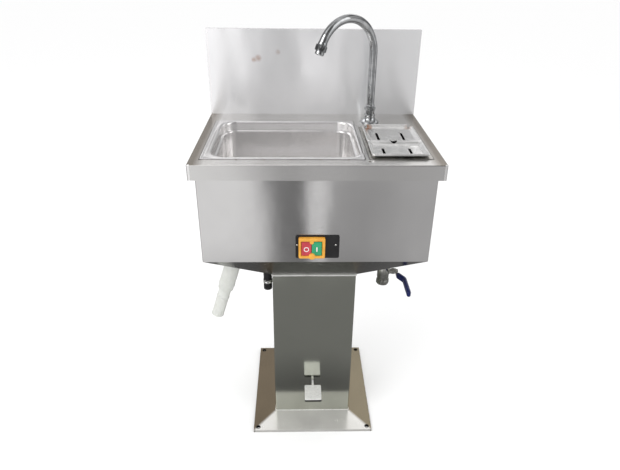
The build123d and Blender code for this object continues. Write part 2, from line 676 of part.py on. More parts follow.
def rack(direction):
    """Folded tray on one side of the split line: direction 1 is the rear one, -1 the front one."""
    end = 0 if direction > 0 else 1
    depth = rack_reach[end]
    middle_y = rack_split + direction * (depth / 2 + fit_gap)
    with BuildPart() as tray:
        with BuildSketch(Plane.XY.offset(rack_bottom)):
            with Locations((well_center[0], middle_y)):
                Rectangle(rack_width, depth)
            with Locations((slot_center_x, rack_split + direction * slot_offsets[end])):
                with GridLocations(slot_spacing, 0, 2, 1):
                    Rectangle(slot_width, slot_lengths[end], mode=Mode.SUBTRACT)
            with Locations((slot_center_x, middle_y - direction * depth / 2)):
                Circle(notch_radius, mode=Mode.SUBTRACT)
            if direction > 0:
                with Locations((well_center[0], middle_y + depth / 2 - corner_notch[1] / 2)):
                    with GridLocations(rack_width - corner_notch[0], 0, 2, 1):
                        Rectangle(*corner_notch, mode=Mode.SUBTRACT)
        extrude(amount=sheet)
        rim_length = depth - (corner_notch[1] if direction > 0 else 0)
        rim_y = middle_y - (corner_notch[1] / 2 if direction > 0 else 0)
        with BuildSketch(Plane.XY.offset(rack_bottom)):
            with Locations((well_center[0], rim_y)):
                with GridLocations(rack_width - sheet, 0, 2, 1):
                    Rectangle(sheet, rim_length)
        extrude(amount=rack_rim_height)
        with BuildSketch(Plane.XY.offset(rack_bottom)):
            with Locations((well_center[0], middle_y)):
                with GridLocations(well_length - 2 * fit_gap - sheet - 2, 0, 2, 1):
                    Rectangle(sheet, depth - 2 * corner_notch[1] - 2)
        extrude(amount=-tab_depth)
    return tray


save(rack(1), "well_rack_rear")
save(rack(-1), "well_rack_front")

# ---- Gooseneck tap ----
tap_base_diameter, tap_base_height, tap_neck_wall, tap_base_bore = 54.0, 34.0, 2.0, 16.0
tap_socket_floor, tap_bell_height = 12.0, 22.0
tap_neck_radius, tap_socket_radius = tap_tube / 2 + tap_neck_wall, tap_tube / 2 + shaft_gap
tap_tube_start, tap_straight_top = worktop_height + tap_socket_floor, worktop_height + tap_rise
tap_axis_plane = Plane(origin=(*tap_position, worktop_height), x_dir=(1, 0, 0), z_dir=(0, -1, 0))
with BuildPart() as tap_base:
    with BuildSketch(tap_axis_plane):
        with BuildLine():
            Polyline((tap_base_bore / 2, 0), (tap_base_diameter / 2, 0), (tap_base_diameter / 2, 3))
            RadiusArc((tap_base_diameter / 2, 3), (tap_neck_radius, tap_bell_height), -24)
            Polyline((tap_neck_radius, tap_bell_height), (tap_neck_radius, tap_base_height),
                     (tap_socket_radius, tap_base_height), (tap_socket_radius, tap_socket_floor - fit_gap),
                     (tap_base_bore / 2, tap_socket_floor - fit_gap), (tap_base_bore / 2, 0))
        make_face()
    revolve(axis=Axis(tap_axis_plane.origin, (0, 0, 1)))
save(tap_base, "tap_base")

collar_plane = Plane(origin=(*tap_position, worktop_height + tap_base_height))
collar_nut_wall, collar_nut_height, collar_ring_wall, collar_ring_height = 2.5, 9.0, 1.5, 8.0
with BuildPart() as tap_collar:
    add(hex_ring(collar_plane, tap_tube + 2 * collar_nut_wall, 2 * tap_socket_radius, collar_nut_height).part)
    add(ring(collar_plane.offset(collar_nut_height), tap_tube + 2 * collar_ring_wall, 2 * tap_socket_radius,
             collar_ring_height).part)
save(tap_collar, "tap_collar")

heading = radians(tap_heading)
spout_plane = Plane(origin=(*tap_position, 0), x_dir=(-cos(heading), -sin(heading), 0),
                    z_dir=(-sin(heading), cos(heading), 0))
with BuildPart() as tap_spout:
    with BuildLine(spout_plane) as gooseneck:
        riser = Line((0, tap_tube_start), (0, tap_straight_top))
        bend = CenterArc((tap_arc_radius, tap_straight_top), tap_arc_radius, 180, -tap_arc_angle)
    with BuildSketch(Plane(origin=riser @ 0, z_dir=(0, 0, 1))):
        Circle(tap_tube / 2)
        Circle(tap_tube / 2 - tap_wall, mode=Mode.SUBTRACT)
    sweep(path=gooseneck.line)
save(tap_spout, "tap_spout")

outlet_plane = Plane(origin=bend @ 1, z_dir=bend % 1)
aerator_nut_wall, aerator_nut_height, aerator_wall, aerator_height = 2.0, 15.0, 1.0, 30.0
aerator_flats, aerator_diameter = tap_tube + 2 * aerator_nut_wall, tap_tube + 2 * aerator_wall
with BuildPart() as tap_aerator:
    with BuildSketch(outlet_plane.offset(-6)):
        Circle(aerator_diameter / 2)
    extrude(amount=6)
    with BuildSketch(outlet_plane):
        RegularPolygon(aerator_flats / 2, 6, major_radius=False)
    extrude(amount=aerator_nut_height)
    with BuildSketch(outlet_plane.offset(aerator_nut_height)):
        Circle(aerator_diameter / 2)
    extrude(amount=aerator_height - aerator_nut_height - 6)
    with BuildSketch(outlet_plane.offset(-6)):
        Circle(tap_tube / 2 + fit_gap)
    extrude(amount=6, mode=Mode.SUBTRACT)
    with BuildSketch(outlet_plane):
        Circle(tap_tube / 2 - tap_wall)
    extrude(amount=aerator_height, mode=Mode.SUBTRACT)
save(tap_aerator, "tap_aerator")

shank_length, backnut_height, backnut_flats = 48.0, 8.0, 32.0
shank_bottom = worktop_height - shank_length
save(ring(Plane(origin=(*tap_position, worktop_height), z_dir=(0, 0, -1)), tap_shank_diameter, 14.0,
          shank_length), "tap_shank")
save(hex_ring(Plane(origin=(*tap_position, worktop_underside), z_dir=(0, 0, -1)), backnut_flats,
              tap_shank_diameter + 0.1, backnut_height), "tap_backnut")

# ---- Foot valve, pedal and hoses inside the column ----
arm_top = pedal_top - pedal_sheet
arm_bottom = arm_top - pedal_arm_height
arm_rear = foot_valve_y + 8
pin_diameter, bracket_wall, bracket_floor = 8.0, 3.0, 97.0
bracket_gap = pedal_arm_width + 4
bracket_front = column_front + sheet
bracket_rear = foot_valve_y + foot_valve_diameter / 2 + 3
shelf_z = arm_top + 26
pivot = (0, pedal_pivot_y, pedal_pivot_z)
pin_plane = Plane(origin=pivot, z_dir=(1, 0, 0))
plunger_diameter = 8.0
bracket_outer = bracket_gap + 2 * bracket_wall

with BuildPart() as pedal_bracket:
    with BuildSketch(Plane.XZ.offset(-bracket_front)):
        with Locations((0, (bracket_floor + shelf_z) / 2)):
            Rectangle(bracket_outer, shelf_z - bracket_floor)
        with Locations((0, (bracket_floor + shelf_z) / 2)):
            Rectangle(bracket_gap, shelf_z - bracket_floor - 2 * bracket_wall, mode=Mode.SUBTRACT)
    extrude(amount=-(bracket_rear - bracket_front))
    with BuildSketch(Plane.XY.offset(shelf_z - bracket_wall)):
        with Locations((0, foot_valve_y)):
            Rectangle(foot_valve_diameter + 4, foot_valve_diameter + 6)
    extrude(amount=bracket_wall)
    with BuildSketch(Plane.XY.offset(shelf_z)):
        with Locations((0, foot_valve_y)):
            Circle(plunger_diameter / 2 + 1)
    extrude(amount=-bracket_wall, mode=Mode.SUBTRACT)
    with BuildSketch(pin_plane):
        Circle(pin_diameter / 2 + shaft_gap)
    extrude(amount=bracket_outer / 2, both=True, mode=Mode.SUBTRACT)
save(pedal_bracket, "pedal_bracket")

pin_head_diameter, pin_head_height = 12.0, 3.0
with BuildPart() as pedal_pivot_pin:
    with BuildSketch(pin_plane):
        Circle(pin_diameter / 2)
    extrude(amount=bracket_outer / 2, both=True)
    for side in (-1, 1):
        with BuildSketch(Plane(origin=(side * bracket_outer / 2, pedal_pivot_y, pedal_pivot_z),
                               z_dir=(side, 0, 0))):
            Circle(pin_head_diameter / 2)
        extrude(amount=pin_head_height)
save(pedal_pivot_pin, "pedal_pivot_pin")

arm_front = pedal_front + pedal_sheet + 2
arm_boss = bracket_gap - 2 * fit_gap
with BuildPart() as pedal_arm:
    with BuildSketch(Plane.YZ.offset(-pedal_arm_width / 2)):
        with BuildLine():
            FilletPolyline((arm_front, arm_top - 6), (arm_front, arm_top), (arm_rear, arm_top),
                           (arm_rear, arm_bottom), (column_front - 20, arm_bottom), radius=0.5, close=True)
        make_face()
    extrude(amount=pedal_arm_width)
    with BuildSketch(pin_plane):
        Circle(pin_diameter / 2 + 2.8)
    extrude(amount=arm_boss / 2, both=True)
    with BuildSketch(pin_plane):
        Circle(pin_diameter / 2 + shaft_gap)
    extrude(amount=arm_boss / 2, both=True, mode=Mode.SUBTRACT)
save(pedal_arm, "pedal_arm")

with BuildPart() as pedal_plate:
    with BuildSketch(Plane.XY.offset(pedal_top)):
        with Locations((0, pedal_front + pedal_depth / 2)):
            RectangleRounded(pedal_width, pedal_depth, 2.5)
    extrude(amount=-pedal_lip)
    with BuildSketch(Plane.XY.offset(pedal_top - pedal_sheet)):
        with Locations((0, pedal_front + pedal_depth / 2)):
            Rectangle(pedal_width - 2 * pedal_sheet, pedal_depth - 2 * pedal_sheet)
    extrude(amount=-pedal_lip, mode=Mode.SUBTRACT)
    with BuildSketch(Plane.XZ.offset(-pedal_front - pedal_depth / 2)):
        with Locations((0, pedal_top - pedal_sheet - pedal_lip / 2)):
            Rectangle(pedal_arm_width + 2 * fit_gap, pedal_lip)
    extrude(amount=-pedal_depth / 2, mode=Mode.SUBTRACT)
    fillet(pedal_plate.faces().sort_by(Axis.Z)[-1].edges(), 1)
save(pedal_plate, "pedal_plate")

spring_y, spring_radius, spring_wire = -88.0, 3.8, 1.2
save(coil_spring((0, spring_y, bracket_floor + bracket_wall), (0, 0, 1),
                 arm_bottom - bracket_floor - bracket_wall, spring_radius, spring_wire, 5), "pedal_spring")

plunger_tip = plunger_diameter / 2
plunger_bottom = arm_top + fit_gap
plunger_length = shelf_z + 30 - plunger_bottom
with BuildPart() as foot_valve_plunger:
    with Locations((0, foot_valve_y, plunger_bottom + plunger_tip)):
        Sphere(plunger_tip)
    with BuildSketch(Plane.XY.offset(plunger_bottom + plunger_tip)):
        with Locations((0, foot_valve_y)):
            Circle(plunger_diameter / 2)
    extrude(amount=plunger_length - plunger_tip)
save(foot_valve_plunger, "foot_valve_plunger")

foot_valve_height, port_diameter, port_reach = 60.0, 12.0, 12.0
inlet_port_z = shelf_z + 44
with BuildPart() as foot_valve_body:
    with BuildSketch(Plane.XY.offset(shelf_z)):
        with Locations((0, foot_valve_y)):
            Circle(foot_valve_diameter / 2)
    extrude(amount=foot_valve_height)
    with BuildSketch(Plane.XY.offset(shelf_z + foot_valve_height)):
        with Locations((0, foot_valve_y)):
            Circle(port_diameter / 2)
    extrude(amount=port_reach)
    with BuildSketch(Plane(origin=(0, foot_valve_y, inlet_port_z), z_dir=(-1, 0, 0))):
        Circle(port_diameter / 2)
    extrude(amount=foot_valve_diameter / 2 + port_reach)
    with BuildSketch(Plane.XY.offset(shelf_z)):
        with Locations((0, foot_valve_y)):
            Circle(plunger_diameter / 2 + shaft_gap)
    extrude(amount=38, mode=Mode.SUBTRACT)
    with BuildSketch(Plane.XY.offset(shelf_z)):
        with Locations((0, foot_valve_y)):
            Circle(hose_bore / 2 - 1)
    extrude(amount=foot_valve_height + port_reach, mode=Mode.SUBTRACT)
    with BuildSketch(Plane(origin=(0, foot_valve_y, inlet_port_z), z_dir=(-1, 0, 0))):
        Circle(hose_bore / 2 - 1)
    extrude(amount=foot_valve_diameter / 2 + port_reach, mode=Mode.SUBTRACT)
save(foot_valve_body, "foot_valve_body")

supply_start = shelf_z + foot_valve_height + port_reach
tap_supply_hose = hose_run(
    [
        (0, foot_valve_y, supply_start),
        (0, foot_valve_y, 540),
        (60, 60, 640),
        (*tap_position, 690),
        (*tap_position, shank_bottom),
    ],
    [60, 45, 40], hose_diameter, hose_bore)
save(tap_supply_hose, "tap_supply_hose")

# ---- Water inlet on the left of the column ----
inlet_clamp_height, inlet_tail_height = 10.0, 21.0
inlet_tail_top = inlet_bottom + inlet_tail_height
inlet_nipple_bottom = inlet_tail_top + inlet_clamp_height
inlet_shoulder = slope_height(inlet_position[0]) - 12
inlet_thread = 16.0
inlet_nipple_top = slope_height(inlet_position[0]) + 24
with BuildPart() as inlet_nipple:
    with BuildSketch(Plane.XY.offset(inlet_nipple_bottom)):
        with Locations(inlet_position):
            Circle(inlet_diameter / 2)
    extrude(amount=inlet_shoulder - inlet_nipple_bottom)
    with BuildSketch(Plane.XY.offset(inlet_shoulder)):
        with Locations(inlet_position):
            Circle(inlet_nipple_diameter / 2)
    extrude(amount=inlet_nipple_top - inlet_shoulder)
    with BuildSketch(Plane.XY.offset(inlet_nipple_bottom)):
        with Locations(inlet_position):
            Circle(hose_bore / 2)
    extrude(amount=inlet_nipple_top - inlet_nipple_bottom, mode=Mode.SUBTRACT)
save(inlet_nipple, "inlet_nipple")

save(ring(Plane(origin=(*inlet_position, inlet_tail_top)), inlet_diameter + 2, hose_bore,
          inlet_clamp_height), "inlet_clamp_ring")

with BuildPart() as inlet_tail_nut:
    with BuildSketch(Plane.XY.offset(inlet_bottom)):
        with Locations(inlet_position):
            Circle(inlet_diameter / 2)
            Circle(inlet_thread / 2, mode=Mode.SUBTRACT)
    extrude(amount=inlet_tail_height)
    fillet(inlet_tail_nut.faces().sort_by(Axis.Z)[0].outer_wire().edges(), 1.5)
save(inlet_tail_nut, "inlet_tail_nut")

hose_drop_x = -60.0
inlet_hose = hose_run(
    [
        (*inlet_position, inlet_nipple_top),
        (*inlet_position, inlet_nipple_top + 40),
        (hose_drop_x, inlet_position[1], inlet_nipple_top + 34),
        (hose_drop_x, foot_valve_y, column_top - 40),
        (hose_drop_x, foot_valve_y, inlet_port_z),
        (-foot_valve_diameter / 2 - port_reach, foot_valve_y, inlet_port_z),
    ],
    [28, 30, 60, 25], hose_diameter, hose_bore)
save(inlet_hose, "inlet_hose")

# ---- Push-button switch in the cabinet's front ----
button_width, button_height, button_gap = 25.2, 39.4, 0.8
window_width = 2 * button_width + button_gap + 2 * fit_gap
window_height = button_height + 2 * fit_gap
window_x, window_z = switch_center_x - 14.5, switch_center_z - 2.3
bezel_width, bezel_height, bezel_depth = 66.0, 57.0, 9.0
bezel_x, bezel_z = switch_center_x - 14.0, switch_center_z - 0.3
plate_back = cabinet_front
plate_face = plate_back - switch_plate_thickness
bezel_face = plate_face - bezel_depth
cap_face = bezel_face + 3
cap_depth = 9.0
cap_back = cap_face + cap_depth
pocket_floor = cap_back + button_travel + 8
stem_length, button_stem = 14.0, 6.0
button_x = (window_x - (button_width + button_gap) / 2, window_x + (button_width + button_gap) / 2)

with BuildPart() as switch_plate:
    with BuildSketch(Plane.XZ.offset(-plate_back)):
        with Locations((switch_center_x, switch_center_z)):
            RectangleRounded(switch_width, switch_height, 4)
        with Locations((window_x, window_z)):
            Rectangle(window_width, window_height, mode=Mode.SUBTRACT)
        with Locations(*[(x, switch_screw_z) for x in switch_screw_x]):
            Circle(switch_screw_shank / 2 + 0.1, mode=Mode.SUBTRACT)
    extrude(amount=switch_plate_thickness)
save(switch_plate, "switch_plate")

bump_width, bump_height = 13.0, 8.0
with BuildPart() as switch_bezel:
    with BuildSketch(Plane.XZ.offset(-plate_face)):
        with Locations((bezel_x, bezel_z)):
            RectangleRounded(bezel_width, bezel_height, 5)
    extrude(amount=bezel_depth, taper=4)
    with BuildSketch(Plane.XZ.offset(-plate_face)):
        with Locations((window_x, window_z)):
            Rectangle(window_width, window_height)
    extrude(amount=bezel_depth, mode=Mode.SUBTRACT)
    with BuildSketch(Plane.XZ.offset(-plate_face)):
        with Locations((window_x, bezel_z - bezel_height / 2 + 1)):
            RectangleRounded(bump_width, bump_height, 3)
    extrude(amount=bezel_depth)
save(switch_bezel, "switch_bezel")

with BuildPart() as switch_body:
    with BuildSketch(Plane.XZ.offset(-plate_back)):
        with Locations((switch_body_x, switch_center_z)):
            Rectangle(switch_body_width, switch_body_height)
    extrude(amount=-switch_body_depth)
    with BuildSketch(Plane.XZ.offset(-plate_back)):
        with Locations((window_x, window_z)):
            Rectangle(window_width, window_height)
    extrude(amount=plate_back - pocket_floor, mode=Mode.SUBTRACT)
    with BuildSketch(Plane.XZ.offset(-pocket_floor)):
        with Locations(*[(x, window_z) for x in button_x]):
            Circle(button_stem / 2 + shaft_gap)
    extrude(amount=-stem_length, mode=Mode.SUBTRACT)
save(switch_body, "switch_body")

for label, center_x in zip(("stop_button", "start_button"), button_x):
    with BuildPart() as button:
        with BuildSketch(Plane.XZ.offset(-cap_back)):
            with Locations((center_x, window_z)):
                RectangleRounded(button_width, button_height, 2)
        extrude(amount=cap_depth)
        fillet(button.faces().sort_by(Axis.Y)[0].edges(), 1)
        with BuildSketch(Plane.XZ.offset(-cap_back)):
            with Locations((center_x, window_z)):
                Circle(button_stem / 2)
        extrude(amount=-(pocket_floor - cap_back) - 6)
    save(button, label)
    save(coil_spring((center_x, cap_back, window_z), (0, 1, 0), pocket_floor - cap_back, 4.4, 0.7, 5),
         label.replace("button", "spring"))

switch_seats = [Plane(origin=(x, plate_face, switch_screw_z), z_dir=(0, -1, 0)) for x in switch_screw_x]
switch_screws = screw_group(switch_seats, 5.5, 2.0, switch_screw_shank, 14.0)
save(switch_screws, "switch_screws")
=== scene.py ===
import json
import math

import bmesh
import bpy
from mathutils import Matrix, Vector


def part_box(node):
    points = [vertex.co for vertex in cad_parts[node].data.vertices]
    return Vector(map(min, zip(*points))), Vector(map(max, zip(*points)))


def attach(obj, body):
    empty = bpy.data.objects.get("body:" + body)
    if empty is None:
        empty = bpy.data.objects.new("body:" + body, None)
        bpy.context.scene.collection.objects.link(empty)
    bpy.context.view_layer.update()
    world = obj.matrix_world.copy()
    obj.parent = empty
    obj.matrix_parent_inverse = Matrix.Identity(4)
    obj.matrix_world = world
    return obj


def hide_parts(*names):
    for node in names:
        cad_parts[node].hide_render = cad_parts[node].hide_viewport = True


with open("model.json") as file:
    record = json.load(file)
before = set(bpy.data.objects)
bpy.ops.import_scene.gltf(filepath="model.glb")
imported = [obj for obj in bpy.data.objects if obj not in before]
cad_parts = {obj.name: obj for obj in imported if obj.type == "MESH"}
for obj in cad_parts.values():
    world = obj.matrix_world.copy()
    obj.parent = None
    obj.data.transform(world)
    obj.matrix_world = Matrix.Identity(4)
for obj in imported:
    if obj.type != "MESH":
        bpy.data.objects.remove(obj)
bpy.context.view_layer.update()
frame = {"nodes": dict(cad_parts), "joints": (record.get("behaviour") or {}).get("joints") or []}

nodes = frame["nodes"]

# ---- Studio ----
# A plain white floor and room with three soft lamps, and the camera that looks down on the worktop.
# Nothing here is part of the wash tank.
scene = bpy.context.scene
scene.view_settings.view_transform = "Standard"

camera_place = Vector((-0.0488, -1.3863, 1.3228))
camera_pitch, camera_yaw, camera_roll = math.radians(28.08), math.radians(1.6), math.radians(-0.68)
ahead = Vector((math.sin(camera_yaw) * math.cos(camera_pitch),
                math.cos(camera_yaw) * math.cos(camera_pitch), -math.sin(camera_pitch)))
level = Vector((math.cos(camera_yaw), -math.sin(camera_yaw), 0))
down = ahead.cross(level)
right_axis = math.cos(camera_roll) * level + math.sin(camera_roll) * down
down_axis = math.cos(camera_roll) * down - math.sin(camera_roll) * level
camera_data = bpy.data.cameras.new("Camera")
camera_data.sensor_width, camera_data.lens = 36, 31.61
camera = bpy.data.objects.new("Camera", camera_data)
camera.matrix_world = Matrix.Translation(camera_place) @ Matrix(
    (right_axis, -down_axis, -ahead)).transposed().to_4x4()
scene.collection.objects.link(camera)
scene.camera = camera


def node(tree, kind, props=None, **inputs):
    """Add a shader node. Inputs are set by name, with _ for a space, from a value or another node's socket."""
    made = tree.nodes.new(kind)
    for key, value in (props or {}).items():
        setattr(made, key, value)
    for key, value in inputs.items():
        name = key.replace("_", " ")
        socket = made.inputs[int(key[1:])] if key[1:].isdigit() else made.inputs[name]
        if isinstance(value, bpy.types.NodeSocket):
            tree.links.new(value, socket)
        else:
            socket.default_value = value
    return made


def maths(tree, operation, *values, clamp=False):
    """One step of arithmetic."""
    return node(tree, "ShaderNodeMath", {"operation": operation, "use_clamp": clamp},
                **{f"_{index}": value for index, value in enumerate(values)}).outputs[0]


def vector_maths(tree, operation, *values):
    """One step of vector arithmetic. A length or distance comes out as a number."""
    step = node(tree, "ShaderNodeVectorMath", {"operation": operation},
                **{f"_{index}": value for index, value in enumerate(values)})
    return step.outputs["Value" if operation in ("LENGTH", "DISTANCE") else "Vector"]


def ranged(tree, value, low, high, start=0.0, end=1.0):
    """A value moved from the range low to high into the range start to end, and held at its ends."""
    return node(tree, "ShaderNodeMapRange", _0=value, _1=low, _2=high, _3=start, _4=end).outputs[0]


def blend_value(tree, share, first, second):
    """A value between two others."""
    return node(tree, "ShaderNodeMix", {"data_type": "FLOAT"}, _0=share, _2=first, _3=second).outputs[0]


def blend_colour(tree, share, first, second):
    """A colour between two others."""
    return node(tree, "ShaderNodeMix", {"data_type": "RGBA"}, _0=share, _6=first, _7=second).outputs[2]


def compass(tree, vector):
    """Share of a full turn about the stand's axis: 0.5 is straight in front of it and 0.25 is its left."""
    spot = node(tree, "ShaderNodeSeparateXYZ", Vector=vector).outputs
    behind = maths(tree, "MULTIPLY", spot["Y"], -1.0)
    turn = maths(tree, "ARCTAN2", spot["X"], behind)
    return maths(tree, "MULTIPLY_ADD", turn, 0.5 / math.pi, 0.5)


def brightness_ramp(tree, share, stops):
    """Brightness between (place, value) stops."""
    ramp = node(tree, "ShaderNodeFloatCurve", Value=share)
    curve = ramp.mapping.curves[0]
    curve.points[0].location, curve.points[1].location = stops[0], stops[-1]
    for stop in stops[1:-1]:
        curve.points.new(*stop)
    for point in curve.points:
        point.handle_type = "VECTOR"
    ramp.mapping.update()
    return ramp.outputs[0]


def flat_sheet(name, size, place, turn, material):
    """A single rectangle for the floor or a card."""
    mesh = bpy.data.meshes.new(name)
    half_x, half_y = size[0] / 2, size[1] / 2
    mesh.from_pydata([(-half_x, -half_y, 0), (half_x, -half_y, 0), (half_x, half_y, 0), (-half_x, half_y, 0)],
                     [], [(0, 1, 2, 3)])
    mesh.materials.append(material)
    sheet = bpy.data.objects.new(name, mesh)
    sheet.location, sheet.rotation_euler = place, turn
    scene.collection.objects.link(sheet)


def softbox(name, place, target, size, power, colour=(1, 1, 1)):
    """A rectangular lamp that faces a point."""
    data = bpy.data.lights.new(name, "AREA")
    data.shape, data.size, data.size_y, data.energy, data.color = "RECTANGLE", *size, power, colour
    lamp = bpy.data.objects.new(name, data)
    lamp.location = place
    lamp.rotation_mode = "QUATERNION"
    lamp.rotation_quaternion = (Vector(target) - Vector(place)).to_track_quat("-Z", "Y")
    scene.collection.objects.link(lamp)


def unseen_bands(tree, plain, banded):
    """A plain shader to the eye and to soft light, and a banded one to reflections."""
    gloss_ray = node(tree, "ShaderNodeLightPath").outputs["Is Glossy Ray"]
    return node(tree, "ShaderNodeMixShader", _0=gloss_ray, _1=plain.outputs[0], _2=banded.outputs[0])


# The floor and the room are plain white to the eye. The steel sees soft bands in them instead.
floor_paint = bpy.data.materials.new("studio_floor")
floor_paint.use_nodes = True
tree = floor_paint.node_tree
tree.nodes.clear()
floor_bands = [(0.0, 0.7), (0.06, 0.3), (0.12, 0.85), (0.2, 0.18), (0.27, 1.0), (0.32, 0.6), (0.345, 0.12),
               (0.37, 0.8), (0.41, 1.1), (0.445, 1.0), (0.468, 1.04), (0.478, 0.9), (0.486, 0.24), (0.501, 0.22),
               (0.505, 1.25), (0.508, 1.15), (0.512, 0.47), (0.53, 0.42), (0.565, 0.6), (0.6, 0.55), (0.635, 0.12),
               (0.66, 0.7), (0.72, 0.95), (0.8, 0.18), (0.88, 0.85), (0.94, 0.3), (1.0, 0.7)]
floor_place = node(tree, "ShaderNodeTexCoord").outputs["Object"]
floor_reach = vector_maths(tree, "LENGTH", floor_place)
under_stand = ranged(tree, floor_reach, 0.25, 0.42, 0.11, 0.205)
beyond = ranged(tree, floor_reach, 0.9, 1.35)
floor_glow = blend_value(tree, beyond, under_stand, brightness_ramp(tree, compass(tree, floor_place), floor_bands))
matt_white = node(tree, "ShaderNodeBsdfDiffuse", Color=(0.93, 0.93, 0.93, 1))
seen_in_steel = node(tree, "ShaderNodeEmission", Color=(1, 0.985, 0.99, 1), Strength=floor_glow)
floor_mix = unseen_bands(tree, matt_white, seen_in_steel)
node(tree, "ShaderNodeOutputMaterial", Surface=floor_mix.outputs[0])
flat_sheet("Floor", (40, 40), (0, 0, 0), (0, 0, 0), floor_paint)

world = bpy.data.worlds.new("Studio")
world.use_nodes = True
tree = world.node_tree
tree.nodes.clear()
sky = node(tree, "ShaderNodeTexCoord").outputs["Generated"]
height_share = maths(tree, "MULTIPLY_ADD", node(tree, "ShaderNodeSeparateXYZ", Vector=sky).outputs["Z"], 0.5, 0.5)
sky_heights = [(0.0, 0.4), (0.48, 0.8), (0.56, 0.8), (0.585, 0.24), (0.62, 0.28), (0.7, 0.7), (0.785, 0.78),
               (0.82, 0.42), (0.88, 0.46), (0.93, 0.95), (1.0, 0.8)]
sky_turns = [(0.0, 0.95), (0.1, 0.85), (0.18, 0.25), (0.27, 0.95), (0.36, 1.0), (0.42, 1.1), (0.468, 1.55),
             (0.479, 1.3), (0.4875, 0.22), (0.5, 0.22), (0.5045, 1.0), (0.5085, 0.8), (0.513, 0.25), (0.56, 0.22),
             (0.6, 0.4), (0.68, 0.8), (0.76, 0.75), (0.84, 0.3), (0.92, 0.9), (1.0, 0.95)]
sky_glow = maths(tree, "MULTIPLY", brightness_ramp(tree, height_share, sky_heights),
                 brightness_ramp(tree, compass(tree, sky), sky_turns))
sky_gain = maths(tree, "MULTIPLY", sky_glow, 1.25)
white_room = node(tree, "ShaderNodeBackground", Color=(1, 1, 1, 1), Strength=1.06)
banded_room = node(tree, "ShaderNodeBackground", Color=(1, 0.985, 0.992, 1), Strength=sky_gain)
room = unseen_bands(tree, white_room, banded_room)
node(tree, "ShaderNodeOutputWorld", Surface=room.outputs[0])
scene.world = world
softbox("Key", (-1.9, -1.5, 2.9), (0, 0, 0.8), (1.8, 1.8), power=34)
softbox("Fill", (2.2, -1.0, 2.2), (0, 0, 0.7), (1.4, 2.0), power=12)
softbox("Rear", (0.4, 2.3, 2.4), (0, 0, 0.8), (2.4, 1.0), power=5)

# ---- Floor plate and column ----
# An 8 mm stainless plate, drilled for anchors, and a square column folded from 1.5 mm sheet.
# The column is welded all round, to the plate below and to the hopper above.


def effect_group(name, **inputs):
    """A shader node group that gives a colour, a roughness and a height. Returns it and its inputs."""
    group = bpy.data.node_groups.new(name, "ShaderNodeTree")
    kinds = {1: "NodeSocketFloat", 3: "NodeSocketVector", 4: "NodeSocketColor"}
    for key, value in inputs.items():
        kind = kinds[len(value) if isinstance(value, tuple) else 1]
        group.interface.new_socket(key.replace("_", " "), in_out="INPUT", socket_type=kind).default_value = value
    for key, count in (("Color", 4), ("Roughness", 1), ("Height", 1)):
        group.interface.new_socket(key, in_out="OUTPUT", socket_type=kinds[count])
    return group, group.nodes.new("NodeGroupInput").outputs


def leave_group(group, *results):
    """Join the results to a group's outputs, in their order."""
    for result, socket in zip(results, group.nodes.new("NodeGroupOutput").inputs):
        group.links.new(result, socket)


# Rolled and brushed sheet: hairlines along the grain, cloudy patches, and wiped smears.
sheet_finish, entry = effect_group("Sheet Finish", Light=(0.6, 0.6, 0.6, 1), Dark=(0.4, 0.4, 0.4, 1),
                                   Grain=(1, 1, 1), Patch_Size=6.0, Smooth=0.2, Rough=0.4)
place = node(sheet_finish, "ShaderNodeTexCoord").outputs["Object"]
along = vector_maths(sheet_finish, "MULTIPLY", place, entry["Grain"])
hairlines = node(sheet_finish, "ShaderNodeTexNoise", Vector=along, Scale=1.0, Detail=4.0,
                 Roughness=0.65).outputs["Fac"]
patches = node(sheet_finish, "ShaderNodeTexNoise", Vector=place, Scale=entry["Patch Size"], Detail=3.0,
               Roughness=0.55, Distortion=0.4).outputs["Fac"]
smears = node(sheet_finish, "ShaderNodeTexNoise", Vector=place, Scale=16.0, Detail=4.0, Roughness=0.55,
              Distortion=0.3).outputs["Fac"]
soft_patches = ranged(sheet_finish, patches, 0.32, 0.68)
mixed = blend_value(sheet_finish, 0.42, soft_patches, hairlines)
leave_colour = blend_colour(sheet_finish, mixed, entry["Dark"], entry["Light"])
smear_share = blend_value(sheet_finish, 0.5, smears, hairlines)
leave_roughness = ranged(sheet_finish, smear_share, 0.35, 0.65, entry["Smooth"], entry["Rough"])
leave_group(sheet_finish, leave_colour, leave_roughness, hairlines)


def blank_material(name):
    """A material with no nodes yet. Returns the material and its tree."""
    material = bpy.data.materials.new(name)
    material.use_nodes = True
    material.node_tree.nodes.clear()
    return material, material.node_tree


def effect(tree, group, light, dark, smooth, rough, **others):
    """An effect group at work between two colours and two roughnesses. Returns its outputs."""
    return node(tree, "ShaderNodeGroup", {"node_tree": group}, Light=(*light, 1), Dark=(*dark, 1),
                Smooth=smooth, Rough=rough, **others).outputs


def relief(tree, height, strength, depth, **below):
    """A fine relief, which may lie on another one."""
    return node(tree, "ShaderNodeBump", Height=height, Strength=strength, Distance=depth, **below).outputs[0]


def finish_surface(tree, colour, roughness, normal, **others):
    """Make the surface and join it to the material's output."""
    shader = node(tree, "ShaderNodeBsdfPrincipled", Base_Color=colour, Roughness=roughness, Normal=normal, **others)
    node(tree, "ShaderNodeOutputMaterial", Surface=shader.outputs[0])


